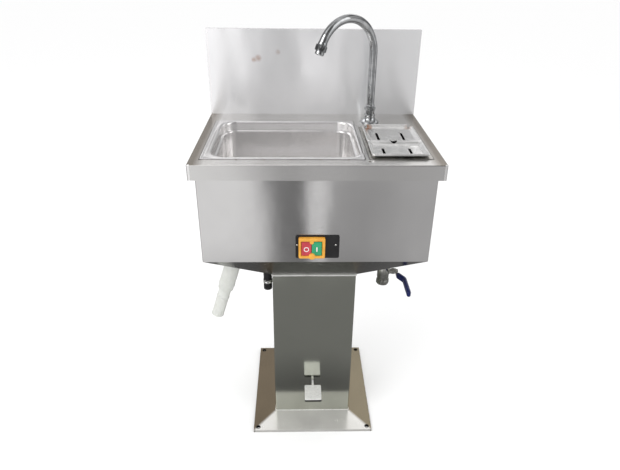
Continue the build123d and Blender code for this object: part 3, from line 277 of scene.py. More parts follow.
def steel(name, light, dark, grain, patch_size=6.0, smooth=0.2, rough=0.38, bump=0.12, brushed=0.0,
          wavy=0.0, metal=1.0, stains=()):
    """Stainless steel. brushed draws reflections out upright, wavy dents it, metal below 1 hazes it."""
    material, tree = blank_material(name)
    finish = effect(tree, sheet_finish, light, dark, smooth, rough, Grain=grain, Patch_Size=patch_size)
    lines = relief(tree, finish["Height"], bump, 0.0002)
    spot = node(tree, "ShaderNodeTexCoord").outputs["Object"]
    if wavy:
        drawn_out = node(tree, "ShaderNodeMapping", Vector=spot, Scale=(1.0, 1.0, 0.45)).outputs[0]
        swell = node(tree, "ShaderNodeTexNoise", Vector=drawn_out, Scale=11.0, Detail=1.5, Roughness=0.4)
        lines = relief(tree, swell.outputs["Fac"], 1.0, wavy, Normal=lines)
    colour = stained(tree, finish["Color"], spot, stains) if stains else finish["Color"]
    finish_surface(tree, colour, finish["Roughness"], lines, Metallic=metal, Anisotropic=brushed,
                   Anisotropic_Rotation=0.25)
    return material


def stained(tree, colour, spot, stains):
    """Rust-brown blotches. Each stain is (point, reach, strength)."""
    blotch = node(tree, "ShaderNodeTexNoise", Vector=spot, Scale=130.0, Detail=4.0)
    for point, reach, strength in stains:
        apart = vector_maths(tree, "DISTANCE", spot, point)
        near = ranged(tree, apart, reach * 0.25, reach, strength, 0.0)
        share = maths(tree, "MULTIPLY", near, blotch.outputs["Fac"], clamp=True)
        colour = blend_colour(tree, share, colour, (0.4, 0.17, 0.07, 1))
    return colour


def coat(material, *names):
    """Give CAD nodes one finish."""
    for name in names:
        slots = nodes[name].data.materials
        slots.clear()
        slots.append(material)


def clean_mesh(name, shape):
    """A mesh from (points, faces), with its doubled points merged and its faces turned outward."""
    mesh = bpy.data.meshes.new(name)
    mesh.from_pydata([tuple(point) for point in shape[0]], [], shape[1])
    form = bmesh.new()
    form.from_mesh(mesh)
    bmesh.ops.remove_doubles(form, verts=form.verts, dist=1e-6)
    bmesh.ops.recalc_face_normals(form, faces=form.faces)
    form.to_mesh(mesh)
    form.free()
    return mesh


def placed(name, mesh, crease):
    """A smooth object with sharp edges above an angle in degrees."""
    mesh.shade_smooth()
    mesh.set_sharp_from_angle(angle=math.radians(crease))
    made = bpy.data.objects.new(name, mesh)
    scene.collection.objects.link(made)
    return made


def piece(name, shape, material, body, slot_name, *replaced):
    """Make a finished piece from (points, faces), ride it on a body and let it stand for CAD nodes."""
    mesh = clean_mesh(name, shape)
    mesh.materials.append(material)
    made = placed(name, mesh, 32)
    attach(made, body)
    if replaced:
        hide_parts(*replaced)
    return made


def middle(low, high):
    """Centre of a box in X and Y."""
    return (low.x + high.x) / 2, (low.y + high.y) / 2


def extent(low, high):
    """Width and depth of a box."""
    return high.x - low.x, high.y - low.y


def rounded_loop(centre, size, radius, z, steps=6):
    """Points round a rounded rectangle in a level plane."""
    points = []
    for quarter, (side_x, side_y) in enumerate(((1, 1), (-1, 1), (-1, -1), (1, -1))):
        corner = (centre[0] + side_x * (size[0] / 2 - radius), centre[1] + side_y * (size[1] / 2 - radius))
        for step in range(steps + 1):
            angle = math.pi / 2 * (quarter + step / steps)
            points.append(Vector((corner[0] + radius * math.cos(angle), corner[1] + radius * math.sin(angle), z)))
    return points


def skin(loops, closed=False, caps=True):
    """Quads between loops with equally many points, joined end to start or capped."""
    count = len(loops[0])
    points = [point for loop in loops for point in loop]
    faces = []
    rows = len(loops)
    for row in range(rows if closed else rows - 1):
        for step in range(count):
            after = (step + 1) % count
            low, high = row * count, (row + 1) % rows * count
            faces.append((low + step, low + after, high + after, high + step))
    if caps and not closed:
        faces.append(tuple(reversed(range(count))))
        faces.append(tuple((rows - 1) * count + step for step in range(count)))
    return points, faces


def joined(*shapes):
    """Several (points, faces) shapes as one."""
    points, faces = [], []
    for shape_points, shape_faces in shapes:
        start = len(points)
        points += list(shape_points)
        faces += [tuple(start + index for index in face) for face in shape_faces]
    return points, faces


def grower(name, seeds, result, **inputs):
    """A Geometry Nodes tree with its sockets. Returns it and its inputs."""
    tree = bpy.data.node_groups.new(name, "GeometryNodeTree")
    for key, kind in ((seeds, "Geometry"), *inputs.items()):
        tree.interface.new_socket(key.replace("_", " "), in_out="INPUT", socket_type="NodeSocket" + kind)
    tree.interface.new_socket(result, in_out="OUTPUT", socket_type="NodeSocketGeometry")
    return tree, tree.nodes.new("NodeGroupInput").outputs


def leave_whole(tree, geometry, material):
    """Make the instances real, give them their material and pass them out."""
    whole = node(tree, "GeometryNodeRealizeInstances", Geometry=geometry)
    leave_group(tree, node(tree, "GeometryNodeSetMaterial", Geometry=whole.outputs[0], Material=material).outputs[0])
    return tree


def grown(name, points, edges, tree, body, slot_name, **settings):
    """Run a Geometry Nodes tree on points and edges, and keep the result as a plain mesh on a body."""
    mesh = bpy.data.meshes.new(name)
    mesh.from_pydata([tuple(point) for point in points], edges, [])
    seed = bpy.data.objects.new(name + "_seed", mesh)
    scene.collection.objects.link(seed)
    modifier = seed.modifiers.new("grow", "NODES")
    modifier.node_group = tree
    sockets = {item.name: item.identifier for item in tree.interface.items_tree if item.in_out == "INPUT"}
    for key, value in settings.items():
        modifier[sockets[key.replace("_", " ")]] = value
    graph = bpy.context.evaluated_depsgraph_get()
    result = bpy.data.meshes.new_from_object(seed.evaluated_get(graph))
    bpy.data.objects.remove(seed)
    made = placed(name, result, 40)
    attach(made, body)
    return made


def weld_bead(name, centre, size, radius, z, thickness):
    """A rippled bead round a rounded rectangle, made with Geometry Nodes."""
    tree, entry = grower(name, "Path", "Bead", Bead_Radius="Float", Ripple_Pitch="Float")
    line = node(tree, "GeometryNodeMeshToCurve", Mesh=entry["Path"])
    fine = node(tree, "GeometryNodeResampleCurve", {"mode": "LENGTH"}, Curve=line.outputs[0],
                Length=maths(tree, "DIVIDE", entry["Ripple Pitch"], points_per_ripple))
    run = node(tree, "GeometryNodeSplineParameter").outputs["Length"]
    turns = maths(tree, "DIVIDE", run, entry["Ripple Pitch"])
    wave = maths(tree, "SINE", maths(tree, "MULTIPLY", turns, 2 * math.pi))
    ring = node(tree, "GeometryNodeCurvePrimitiveCircle", Resolution=8)
    tree.links.new(entry["Bead Radius"], ring.inputs["Radius"])
    tube = node(tree, "GeometryNodeCurveToMesh", Curve=fine.outputs[0], Profile_Curve=ring.outputs[0])
    if "Scale" in tube.inputs:
        tree.links.new(maths(tree, "MULTIPLY_ADD", wave, 0.1, 0.9), tube.inputs["Scale"])
    leave_whole(tree, tube.outputs[0], bead_steel)
    points = rounded_loop(centre, size, radius, z)
    edges = [(step, (step + 1) % len(points)) for step in range(len(points))]
    grown(name, points, edges, tree, "stand", "steel_sheet", Bead_Radius=thickness, Ripple_Pitch=0.0016)


def plate_finish():
    """Mill-finished plate with painted shade round its anchor holes, and a painted brown floor reflection over all but
    a wedge at its front.
    """
    material, tree = blank_material("plate_steel")
    finish = effect(tree, sheet_finish, (0.84, 0.83, 0.8), (0.66, 0.65, 0.62), 0.17, 0.28,
                    Grain=(2200, 14, 14), Patch_Size=9.0)
    spot = node(tree, "ShaderNodeTexCoord").outputs["Object"]
    # Painted shade round each anchor hole: a near-black ring that fades out a few millimetres from the hole.
    mirrored = vector_maths(tree, "ABSOLUTE", spot)
    from_hole = vector_maths(tree, "SUBTRACT", mirrored, anchor_hole)
    reach = vector_maths(tree, "LENGTH", from_hole)
    hole_shade = ranged(tree, reach, hole_edge, hole_shade_edge, 1.0, 0.0)
    # Painted reflection of a brown floor: the whole plate except a wedge at its front middle turns brown, darker
    # towards the left.
    side = node(tree, "ShaderNodeSeparateXYZ", Vector=mirrored).outputs["X"]
    forward = node(tree, "ShaderNodeSeparateXYZ", Vector=spot).outputs["Y"]
    beside = maths(tree, "MULTIPLY_ADD", forward, 0.8, side)
    floor_reflection_share = ranged(tree, beside, 0.02, 0.032)
    left_right = ranged(tree, node(tree, "ShaderNodeSeparateXYZ", Vector=spot).outputs["X"], -0.14, 0.14)
    floor_reflection_brown = blend_colour(tree, left_right, (0.15, 0.12, 0.082, 1), (0.25, 0.215, 0.15, 1))
    reflection_browned = blend_colour(tree, floor_reflection_share, finish["Color"], floor_reflection_brown)
    colour = blend_colour(tree, hole_shade, reflection_browned, (0.012, 0.011, 0.01, 1))
    bare = ranged(tree, floor_reflection_share, 0.0, 1.0, 0.5, 0.9)
    finish_surface(tree, colour, finish["Roughness"], relief(tree, finish["Height"], 0.08, 0.0002), Metallic=bare)
    return material


# Noise scales for a grain that runs across a face, and for one with no direction.
across, both_ways = (14, 14, 2600), (900, 900, 900)
# Anchor hole centre, and where the painted shade round each hole starts to fade and where it ends.
anchor_hole, hole_edge, hole_shade_edge = (0.1675, 0.18, 0.004), 0.0072, 0.009
points_per_ripple = 3.0
column_steel = steel("column_steel", (0.7, 0.72, 0.645), (0.61, 0.63, 0.555), across, 5.0, 0.1, 0.15, 0.05, 0.3)
bead_steel = steel("bead_steel", (0.95, 0.95, 0.93), (0.75, 0.75, 0.72), both_ways, 40.0, 0.24, 0.38, metal=0.5)
coat(column_steel, "column_shell", "service_cover")
coat(plate_finish(), "base_plate")
column_low, column_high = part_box("column_shell")
column_corner = 0.003
for bead_name, bead_z, bead_radius in (("column_foot_weld", column_low.z + 0.0006, 0.0016),
                                       ("column_head_weld", column_high.z - 0.0024, 0.003)):
    weld_bead(bead_name, (0, 0), extent(column_low, column_high), column_corner, bead_z, bead_radius)

# ---- Hopper and cabinet ----
# The cabinet is a wrapped box of 1.5 mm brushed sheet, and the hopper under it tapers to the column.
# The rear panel and the column's cover are flat sheet, held by screws.
cabinet_steel = steel("cabinet_steel", (0.66, 0.66, 0.655), (0.55, 0.55, 0.545), across, 4.0, 0.11, 0.16, 0.1,
                      brushed=0.85, wavy=0.001)
# The hopper's steel is a darker copy of the cabinet's: painted shade for the hopper, which faces down under the
# cabinet.
shaded_hopper_steel = steel("shaded_hopper_steel", (0.42, 0.42, 0.405), (0.32, 0.32, 0.31), across, 4.0, 0.2, 0.28, 0.1, 0.5)
coat(cabinet_steel, "cabinet_shell", "access_panel")
coat(shaded_hopper_steel, "hopper")

# ---- Screws ----
# Pan-head stainless screws with a cross recess, turned and plated, which hold the rear panel, the column's
# cover and the switch plate.


def screw_tree(name, finish):
    """Geometry Nodes that put a cross-recessed pan head on every vertex of a mesh, all turned by one given turn."""
    tree, entry = grower(name, "Seats", "Screws", Head_Radius="Float", Head_Height="Float", Seat_Turn="Vector")
    radius, height = entry["Head Radius"], entry["Head Height"]

    def times(a, b):
        return maths(tree, "MULTIPLY", a, b)

    def box_of(x, y, z):
        return node(tree, "ShaderNodeCombineXYZ", X=x, Y=y, Z=z).outputs[0]

    ball = node(tree, "GeometryNodeMeshUVSphere", Segments=28, Rings=14, Radius=1.0)
    dome = node(tree, "GeometryNodeTransform", Geometry=ball.outputs[0],
                Scale=box_of(radius, radius, height))
    block = node(tree, "GeometryNodeMeshCube",
                 Size=box_of(times(radius, 3.0), times(radius, 3.0), times(height, 2.0)))
    block = node(tree, "GeometryNodeTransform", Geometry=block.outputs[0],
                 Translation=box_of(0.0, 0.0, times(height, 0.98)))
    head = node(tree, "GeometryNodeMeshBoolean", {"operation": "INTERSECT", "solver": "EXACT"})
    tree.links.new(block.outputs[0], head.inputs["Mesh 2"])
    tree.links.new(dome.outputs[0], head.inputs["Mesh 2"])
    bars = []
    for wide, deep in ((1.15, 0.24), (0.24, 1.15)):
        bar = node(tree, "GeometryNodeMeshCube",
                   Size=box_of(times(radius, wide), times(radius, deep), times(height, 1.3)))
        bars.append(node(tree, "GeometryNodeTransform", Geometry=bar.outputs[0],
                         Translation=box_of(0.0, 0.0, times(height, 1.15))))
    cut = node(tree, "GeometryNodeMeshBoolean", {"operation": "DIFFERENCE", "solver": "EXACT"})
    tree.links.new(head.outputs[0], cut.inputs["Mesh 1"])
    for bar in bars:
        tree.links.new(bar.outputs[0], cut.inputs["Mesh 2"])
    dots = node(tree, "GeometryNodeMeshToPoints", Mesh=entry["Seats"])
    turned = node(tree, "FunctionNodeEulerToRotation", Euler=entry["Seat Turn"])
    set_heads = node(tree, "GeometryNodeInstanceOnPoints", Points=dots.outputs[0], Instance=cut.outputs[0],
                     Rotation=turned.outputs[0])
    return leave_whole(tree, set_heads.outputs[0], finish)


def screws(name, node_name, radius, turn):
    """Screw heads where a node's screw group has its own, facing along the node's Y either way."""
    low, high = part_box(node_name)
    seat_y = high.y - screw_height if turn < 0 else low.y + screw_height
    made = grown(name, [(x, seat_y, z) for x, z in solid_centres(node_name)], [], screw_nodes, "stand", "screw_steel",
                 Head_Radius=radius, Head_Height=screw_height, Seat_Turn=(math.radians(turn), 0.0, 0.0))
    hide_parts(node_name)


def solid_centres(node_name):
    """Where the separate solids of a CAD node stand in X and Z."""
    form = bmesh.new()
    form.from_mesh(nodes[node_name].data)
    bmesh.ops.remove_doubles(form, verts=form.verts, dist=1e-6)
    form.verts.ensure_lookup_table()
    unseen, centres = set(form.verts), []
    while unseen:
        group, edge = set(), [unseen.pop()]
        while edge:
            vertex = edge.pop()
            group.add(vertex)
            for link in vertex.link_edges:
                other = link.other_vert(vertex)
                if other in unseen:
                    unseen.discard(other)
                    edge.append(other)
        spots = [vertex.co for vertex in group]
        centres.append(((min(p.x for p in spots) + max(p.x for p in spots)) / 2,
                        (min(p.z for p in spots) + max(p.z for p in spots)) / 2))
    form.free()
    return sorted(centres)


screw_height = 0.0024
screw_steel = steel("screw_steel", (0.82, 0.82, 0.8), (0.62, 0.62, 0.6), both_ways, 60.0, 0.14, 0.28)
screw_nodes = screw_tree("Pan Head Screws", screw_steel)
screws("cover_screw_heads", "service_cover_screws", 0.004, -90)
screws("panel_screw_heads", "access_panel_screws", 0.004, -90)
screws("switch_screw_heads", "switch_screws", 0.00275, 90)

# ---- Worktop and backsplash ----
# The worktop is a folded tray of 1.5 mm sheet with an apron, its corner seams welded and ground bright.
# The backsplash is a folded panel that stands on its rear edge.


def worktop_finish():
    """Brushed steel with ground apron seams and browner side bands, a painted shadow along the let-in flanges and a
    flat painted shade on the apron.
    """
    material, tree = blank_material("worktop_steel")
    finish = effect(tree, sheet_finish, (0.85, 0.84, 0.82), (0.68, 0.67, 0.65), 0.2, 0.27, Grain=across,
                    Patch_Size=5.0)
    place = node(tree, "ShaderNodeTexCoord").outputs["Object"]
    spot = node(tree, "ShaderNodeSeparateXYZ", Vector=place).outputs
    side = maths(tree, "ABSOLUTE", spot["X"])
    seam = maths(tree, "COMPARE", side, seam_centre, seam_half_width)
    front = maths(tree, "LESS_THAN", spot["Y"], seam_front)
    mask = maths(tree, "MULTIPLY", seam, front)
    side_band = ranged(tree, side, *band_edges, end=0.85)
    edge_colour = blend_colour(tree, side_band, finish["Color"], (0.22, 0.185, 0.14, 1))
    # Painted shadow: a near-black line on the worktop just outside the sink's and the well's flanges.
    for flanged in ("sink_bowl", "well_tank"):
        centre, (width, depth) = middle(*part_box(flanged)), extent(*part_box(flanged))
        off_centre = vector_maths(tree, "ABSOLUTE", vector_maths(tree, "SUBTRACT", place, (*centre, 0.0)))
        past = vector_maths(tree, "SUBTRACT", off_centre, (width / 2, depth / 2, 0.0))
        over = node(tree, "ShaderNodeSeparateXYZ", Vector=past).outputs
        beyond_edge = maths(tree, "MAXIMUM", over["X"], over["Y"])
        flange_shadow = ranged(tree, beyond_edge, 0.0012, 0.0028, 0.85, 0.0)
        edge_colour = blend_colour(tree, flange_shadow, edge_colour, (0.05, 0.045, 0.04, 1))
    # Painted shade: below the front bend, the apron and everything under the top become one flat, darker grey.
    apron_shade_share = ranged(tree, spot["Z"], top_high.z - 0.0016, top_high.z - 0.0003, 1.0, 0.0)
    apron = blend_colour(tree, apron_shade_share, edge_colour, (0.63, 0.63, 0.62, 1))
    colour = blend_colour(tree, mask, apron, (0.95, 0.95, 0.94, 1))
    gloss = blend_value(tree, mask, finish["Roughness"], 0.42)
    finish_surface(tree, colour, gloss, relief(tree, finish["Height"], 0.1, 0.0002), Metallic=1.0)
    return material


top_low, top_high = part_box("worktop")
seam_half_width, seam_centre, seam_front = 0.0022, top_high.x - 0.0048, top_low.y + 0.004
band_edges = (0.262, 0.286)
coat(worktop_finish(), "worktop")
backsplash_steel = steel("backsplash_steel", (0.93, 0.93, 0.94), (0.84, 0.84, 0.85), across, 4.0, 0.16, 0.22, 0.1,
                         brushed=1.0, wavy=0.0013, metal=0.62,
                         stains=[((-0.1567, 0.206, 1.0387), 0.012, 0.9), ((-0.1006, 0.206, 1.0556), 0.009, 0.6),
                                 ((-0.1687, 0.206, 1.0347), 0.009, 0.9)])
coat(backsplash_steel, "backsplash")

# ---- Basin ----
# A deep-drawn bowl of 1.2 mm stainless sheet, dropped into the worktop and spot-welded along its flange.
# A rolled bead runs round the mouth, and a step below it carries a rack or tray.
bowl_low, bowl_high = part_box("sink_bowl")
flange_centre, flange_size = middle(bowl_low, bowl_high), extent(bowl_low, bowl_high)
mouth_centre, mouth_size, mouth_corner = (-0.0745, -0.0235), (0.359, 0.285), 0.04
bowl_sheet, bowl_step, bowl_bend, drain_radius = 0.0012, 0.007, 0.025, 0.03
bowl_floor = bowl_low.z + bowl_sheet


def mouth_loop(inset, z):
    """A loop inside the basin's mouth line, or outside it where inset is negative."""
    return rounded_loop(mouth_centre, (mouth_size[0] - 2 * inset, mouth_size[1] - 2 * inset),
                        mouth_corner - inset * 0.8, z, 10)


def basin_shape():
    """The bowl's inner skin from the flange's edge to the drain, with its thickness below it."""
    top = bowl_high.z
    flange_edge = [(0, top - bowl_sheet), (0, top - 0.0004), (0.0005, top), (0.0026, top), (0.004, top - 0.0007)]
    loops = [rounded_loop(flange_centre, (flange_size[0] - 2 * inset, flange_size[1] - 2 * inset), 0.006, z, 10)
             for inset, z in flange_edge]
    rim = [(-0.01, top - 0.0007), (-0.0086, top - 0.0004), (-0.0074, top), (-0.005, top), (-0.0034, top - 0.0005),
           (-0.0018, top - 0.0017), (-0.0007, top - 0.0034), (0, top - 0.006)]
    step_z = top - 0.025
    shoulder = [(0.0004, step_z + 0.003), (0.001, step_z + 0.0012), (0.0022, step_z + 0.0003),
                (0.0046, step_z - 0.0001), (0.006, step_z - 0.0008), (0.0068, step_z - 0.0022),
                (bowl_step, step_z - 0.0045)]
    loops += [mouth_loop(inset, z) for inset, z in rim + shoulder]
    bend_top = bowl_floor + bowl_bend
    loops.append(mouth_loop(bowl_step + 0.0008, bend_top))
    for part in range(1, 9):
        angle = math.pi / 2 * part / 8
        loops.append(mouth_loop(bowl_step + 0.0008 + bowl_bend * (1 - math.cos(angle)),
                                bend_top - bowl_bend * math.sin(angle)))
    last = loops[-1]
    for share in (0.35, 0.7, 1.0):
        ring = []
        for point in last:
            flat = Vector((point.x - mouth_centre[0], point.y - mouth_centre[1], 0))
            spot = flat.lerp(flat.normalized() * drain_radius, share)
            ring.append(Vector((mouth_centre[0] + spot.x, mouth_centre[1] + spot.y, bowl_floor)))
        loops.append(ring)
    return skin(loops, caps=False)


basin_steel = steel("basin_steel", (0.88, 0.87, 0.865), (0.77, 0.76, 0.755), both_ways, 9.0, 0.15, 0.23, 0.05,
                    metal=0.88)
basin = piece("basin", basin_shape(), basin_steel, "stand", "steel_sheet", "sink_bowl")
thicken = basin.modifiers.new("sheet", "SOLIDIFY")
thicken.thickness = bowl_sheet
thicken.offset = -1
coat(basin_steel, "sink_drain_body", "sink_strainer")


def dot_tree(name, finish):
    """Geometry Nodes that put a flattened dot on every vertex of a mesh."""
    tree, entry = grower(name, "Spots", "Dots", Dot_Size="Vector")
    ball = node(tree, "GeometryNodeMeshUVSphere", Segments=20, Rings=10, Radius=1.0)
    dome = node(tree, "GeometryNodeTransform", Geometry=ball.outputs[0], Scale=entry["Dot Size"])
    seats = node(tree, "GeometryNodeMeshToPoints", Mesh=entry["Spots"])
    turned_by = node(tree, "FunctionNodeRandomValue", {"data_type": "FLOAT_VECTOR"}, _0=(0, 0, -0.6), _1=(0, 0, 0.6))
    set_dots = node(tree, "GeometryNodeInstanceOnPoints", Points=seats.outputs[0], Instance=dome.outputs[0],
                    Rotation=turned_by.outputs[0])
    return leave_whole(tree, set_dots.outputs[0], finish)


scorched_steel = steel("scorched_steel", (0.2, 0.15, 0.11), (0.05, 0.04, 0.03), both_ways, 200.0, 0.35, 0.6)
weld_spots = [(x, bowl_low.y - 0.0006, top_high.z + 0.0004) for x in (-0.1895, -0.124, -0.0615, 0.008, 0.073)]
weld_spots.append((0.1215, bowl_low.y - 0.012, top_high.z + 0.0001))
grown("spot_welds", weld_spots, [], dot_tree("Spot Welds", scorched_steel), "stand", "steel_sheet",
      Dot_Size=(0.0026, 0.0019, 0.0007))

# ---- Soak well and slotted racks ----
# A deep folded well of stainless sheet, with two lift-out racks over its mouth pressed from 1.5 mm sheet.
# Each rack is a shallow tray with a rolled rim, slots punched through its floor and tabs welded under it.
well_steel = steel("well_steel", (0.66, 0.65, 0.62), (0.48, 0.46, 0.42), both_ways, 12.0, 0.22, 0.36, 0.05)
coat(well_steel, "well_tank", "well_outlet", "heater_element", "thermostat_probe")


def carved(shape, *cutters):
    """A closed shape with other closed shapes cut out of it."""
    rough = []
    for solid in (shape, joined(*cutters)):
        rough.append(bpy.data.objects.new("rough", clean_mesh("rough", solid)))
        scene.collection.objects.link(rough[-1])
    cut = rough[0].modifiers.new("cut", "BOOLEAN")
    cut.operation, cut.solver, cut.object = "DIFFERENCE", "EXACT", rough[1]
    graph = bpy.context.evaluated_depsgraph_get()
    result = bpy.data.meshes.new_from_object(rough[0].evaluated_get(graph))
    for item in rough:
        bpy.data.objects.remove(item)
    return [vertex.co.copy() for vertex in result.vertices], [tuple(face.vertices) for face in result.polygons]


def post(centre, size, radius, bottom, top):
    """An upright bar with rounded corners."""
    return skin([rounded_loop(centre, size, radius, z, 5) for z in (bottom, top)])


slot_middle, slot_apart, slot_width, tab_reach, tab_sheet = 0.195, 0.03275, 0.0065, 0.06095, 0.0015
finger_width, finger_corner, past_sheet = 0.018, 0.0088, 0.002
corner_notch, notch_corner, notch_in_x, notch_in_y = (0.016, 0.017), 0.003, 0.006, 0.0065
rack_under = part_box("well_rack_rear")[0].z + 0.012


def rack_shape(node_name, slot_y, slot_length, rear):
    """One tray with its slots, tabs and finger notch, and two corner notches on the rear one."""
    low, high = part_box(node_name)
    centre, size = middle(low, high), extent(low, high)
    floor, top = rack_under + 0.0015, high.z
    rows = [(0.014, rack_under), (0.0122, rack_under + 0.0004), (0.0056, top - 0.0024), (0.0042, top - 0.0015),
            (0.0014, top - 0.0015), (0.0012, top - 0.0048), (0.0, top - 0.0048), (0.0, top - 0.0012),
            (0.0004, top - 0.0004), (0.0012, top), (0.0038, top), (0.005, top - 0.0006), (0.006, top - 0.0016),
            (0.0108, floor + 0.0011), (0.012, floor + 0.0003), (0.0136, floor)]
    tray = skin([rounded_loop(centre, (size[0] - 2 * inset, size[1] - 2 * inset), max(0.0015, 0.006 - inset * 0.3),
                              z, 5) for inset, z in rows])
    through = (rack_under - past_sheet, top + past_sheet)
    cutters = [post((slot_middle + side * slot_apart, slot_y), (slot_width, slot_length), slot_width * 0.45, *through)
               for side in (-1, 1)]
    seam_y = low.y if rear else high.y
    cutters.append(post((slot_middle, seam_y), (finger_width, finger_width), finger_corner, *through))
    if rear:
        cutters += [post((x, high.y - notch_in_y), corner_notch, notch_corner, *through)
                    for x in (low.x + notch_in_x, high.x - notch_in_x)]
    tabs = [post((centre[0] + side * tab_reach, centre[1]), (tab_sheet, size[1] - 0.032), tab_sheet / 3, low.z,
                 rack_under + 0.004) for side in (-1, 1)]
    return joined(carved(tray, *cutters), *tabs)


rack_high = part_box("well_rack_rear")[1]
rack_steel = steel("rack_steel", (0.92, 0.92, 0.91), (0.62, 0.62, 0.61), both_ways, 34.0, 0.14, 0.3, 0.1, metal=0.86,
                   stains=[((0.144, 0.053, rack_high.z), 0.017, 1.3), ((0.2535, 0.053, rack_high.z), 0.014, 1.1),
                           ((0.144, 0.06, rack_under), 0.017, 1.3)])
for rack_name, cad_node, body, slot_y, slot_length in (
        ("rack_rear_tray", "well_rack_rear", "rear_rack", -0.0165, 0.059),
        ("rack_front_tray", "well_rack_front", "front_rack", -0.135, 0.046)):
    tray = rack_shape(cad_node, slot_y, slot_length, body == "rear_rack")
    piece(rack_name, tray, rack_steel, body, "steel_sheet", cad_node)

# ---- Gooseneck tap ----
# Chromed brass: a bell base, a collar nut and a bent tube that swivels in them, with a screwed-on aerator.
# The fittings are turned from bar, and everything is polished before it is plated.
polish, entry = effect_group("Polished Plating", Light=(0.8, 0.8, 0.8, 1), Dark=(0.6, 0.6, 0.6, 1),
                             Spot_Size=30.0, Smooth=0.04, Rough=0.14)
place = node(polish, "ShaderNodeTexCoord").outputs["Object"]
film = node(polish, "ShaderNodeTexNoise", Vector=place, Scale=entry["Spot Size"], Detail=4.0,
            Roughness=0.6, Distortion=0.8).outputs["Fac"]
film_share = ranged(polish, film, 0.38, 0.66)
film_colour = blend_colour(polish, film_share, entry["Light"], entry["Dark"])
film_gloss = ranged(polish, film, 0.38, 0.66, entry["Smooth"], entry["Rough"])
leave_group(polish, film_colour, film_gloss, film)


def plated(name, light, dark, smooth=0.04, rough=0.14, spot_size=30.0, bump=0.02):
    """A bright plated or turned metal with a faint film of water marks."""
    material, tree = blank_material(name)
    finish = effect(tree, polish, light, dark, smooth, rough, Spot_Size=spot_size)
    finish_surface(tree, finish["Color"], finish["Roughness"], relief(tree, finish["Height"], bump, 0.0003),
                   Metallic=1.0)
    return material


def turned(profile, origin, axis, steps=48):
    """A turned shape. Each profile row is (radius, distance along the axis) and, on a hexagon, its width."""
    axis = Vector(axis).normalized()
    side = axis.cross(Vector((0, 0, 1)) if abs(axis.z) < 0.9 else Vector((0, 1, 0))).normalized()
    other = axis.cross(side)
    loops = []
    for radius, distance, *flats in profile:
        loop = []
        for step in range(steps):
            angle = 2 * math.pi * step / steps
            reach = radius
            if flats:
                reach = min(reach, flats[0] / 2 / math.cos((angle % (math.pi / 3)) - math.pi / 6))
            loop.append(Vector(origin) + axis * distance + side * reach * math.cos(angle)
                        + other * reach * math.sin(angle))
        loops.append(loop)
    return loops


def tube_shape(profile, origin, axis, steps=48):
    """A turned ring: the profile goes up the outside and back down the bore."""
    return skin(turned(profile, origin, axis, steps), closed=True)


def knob_shape(profile, origin, axis, steps=48):
    """A turned solid with capped ends."""
    return skin(turned(profile, origin, axis, steps))


chrome = plated("tap_chrome", (0.46, 0.47, 0.475), (0.28, 0.29, 0.295), 0.01, 0.05)
swivel = next(joint for joint in frame["joints"] if joint["name"] == "spout_swivel")
tap_foot = Vector((swivel["pos_m"][0], swivel["pos_m"][1], top_high.z))
tube_radius, socket_play = 0.011, 0.00005
bell = [(0.027, 0), (0.027, 0.0018), (0.0264, 0.0029), (0.0238, 0.0042), (0.0186, 0.0078), (0.0158, 0.0125),
        (0.0148, 0.018), (0.0153, 0.0194), (0.0155, 0.0215), (0.015, 0.0232), (0.0134, 0.0242), (0.0131, 0.0332),
        (0.0125, 0.034), (tube_radius + socket_play, 0.034), (tube_radius + socket_play, 0.0117), (0.008, 0.0117),
        (0.008, 0)]
piece("tap_bell", tube_shape(bell, tap_foot, (0, 0, 1), 64), chrome, "stand", "tap_chrome", "tap_base")
collar_foot = tap_foot + Vector((0, 0, 0.034))
collar = [(tube_radius + socket_play, 0.0002), (0.0142, 0.0002), (0.0156, 0.0012, 0.027), (0.0156, 0.008, 0.027),
          (0.014, 0.009, 0.027), (0.0118, 0.0094), (0.0118, 0.0102), (0.0125, 0.0108), (0.0125, 0.015),
          (0.0119, 0.0168), (tube_radius + socket_play, 0.017)]
piece("tap_collar_nut", tube_shape(collar, collar_foot, (0, 0, 1), 72), chrome, "stand", "tap_chrome",
      "tap_collar")
coat(chrome, "tap_spout")
spout_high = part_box("tap_spout")[1].z
bend_radius, bend_turn, heading = 0.093, math.radians(157), math.radians(36.7)
bend_z = spout_high - tube_radius - bend_radius
forward = Vector((-math.cos(heading), -math.sin(heading), 0))
end_angle = math.pi - bend_turn
outlet = Vector((tap_foot.x, tap_foot.y, bend_z)) + forward * (bend_radius * (1 + math.cos(end_angle))) \
    + Vector((0, 0, bend_radius * math.sin(end_angle)))
outlet_axis = forward * math.sin(end_angle) - Vector((0, 0, math.cos(end_angle)))
nozzle = [(tube_radius + 0.0003, -0.006), (0.0117, -0.006), (0.012, -0.0054), (0.012, -0.0004), (0.0138, 0.0002),
          (0.0149, 0.0012, 0.026), (0.0149, 0.0138, 0.026), (0.0138, 0.015, 0.026), (0.0114, 0.0154),
          (0.0114, 0.0162), (0.012, 0.0168), (0.012, 0.0228), (0.0112, 0.024), (0.0096, 0.024), (0.009, 0.023),
          (0.009, -0.0002), (tube_radius + 0.0003, -0.0002)]
piece("tap_aerator_body", tube_shape(nozzle, outlet, outlet_axis, 72), chrome, "spout", "tap_chrome",
      "tap_aerator")

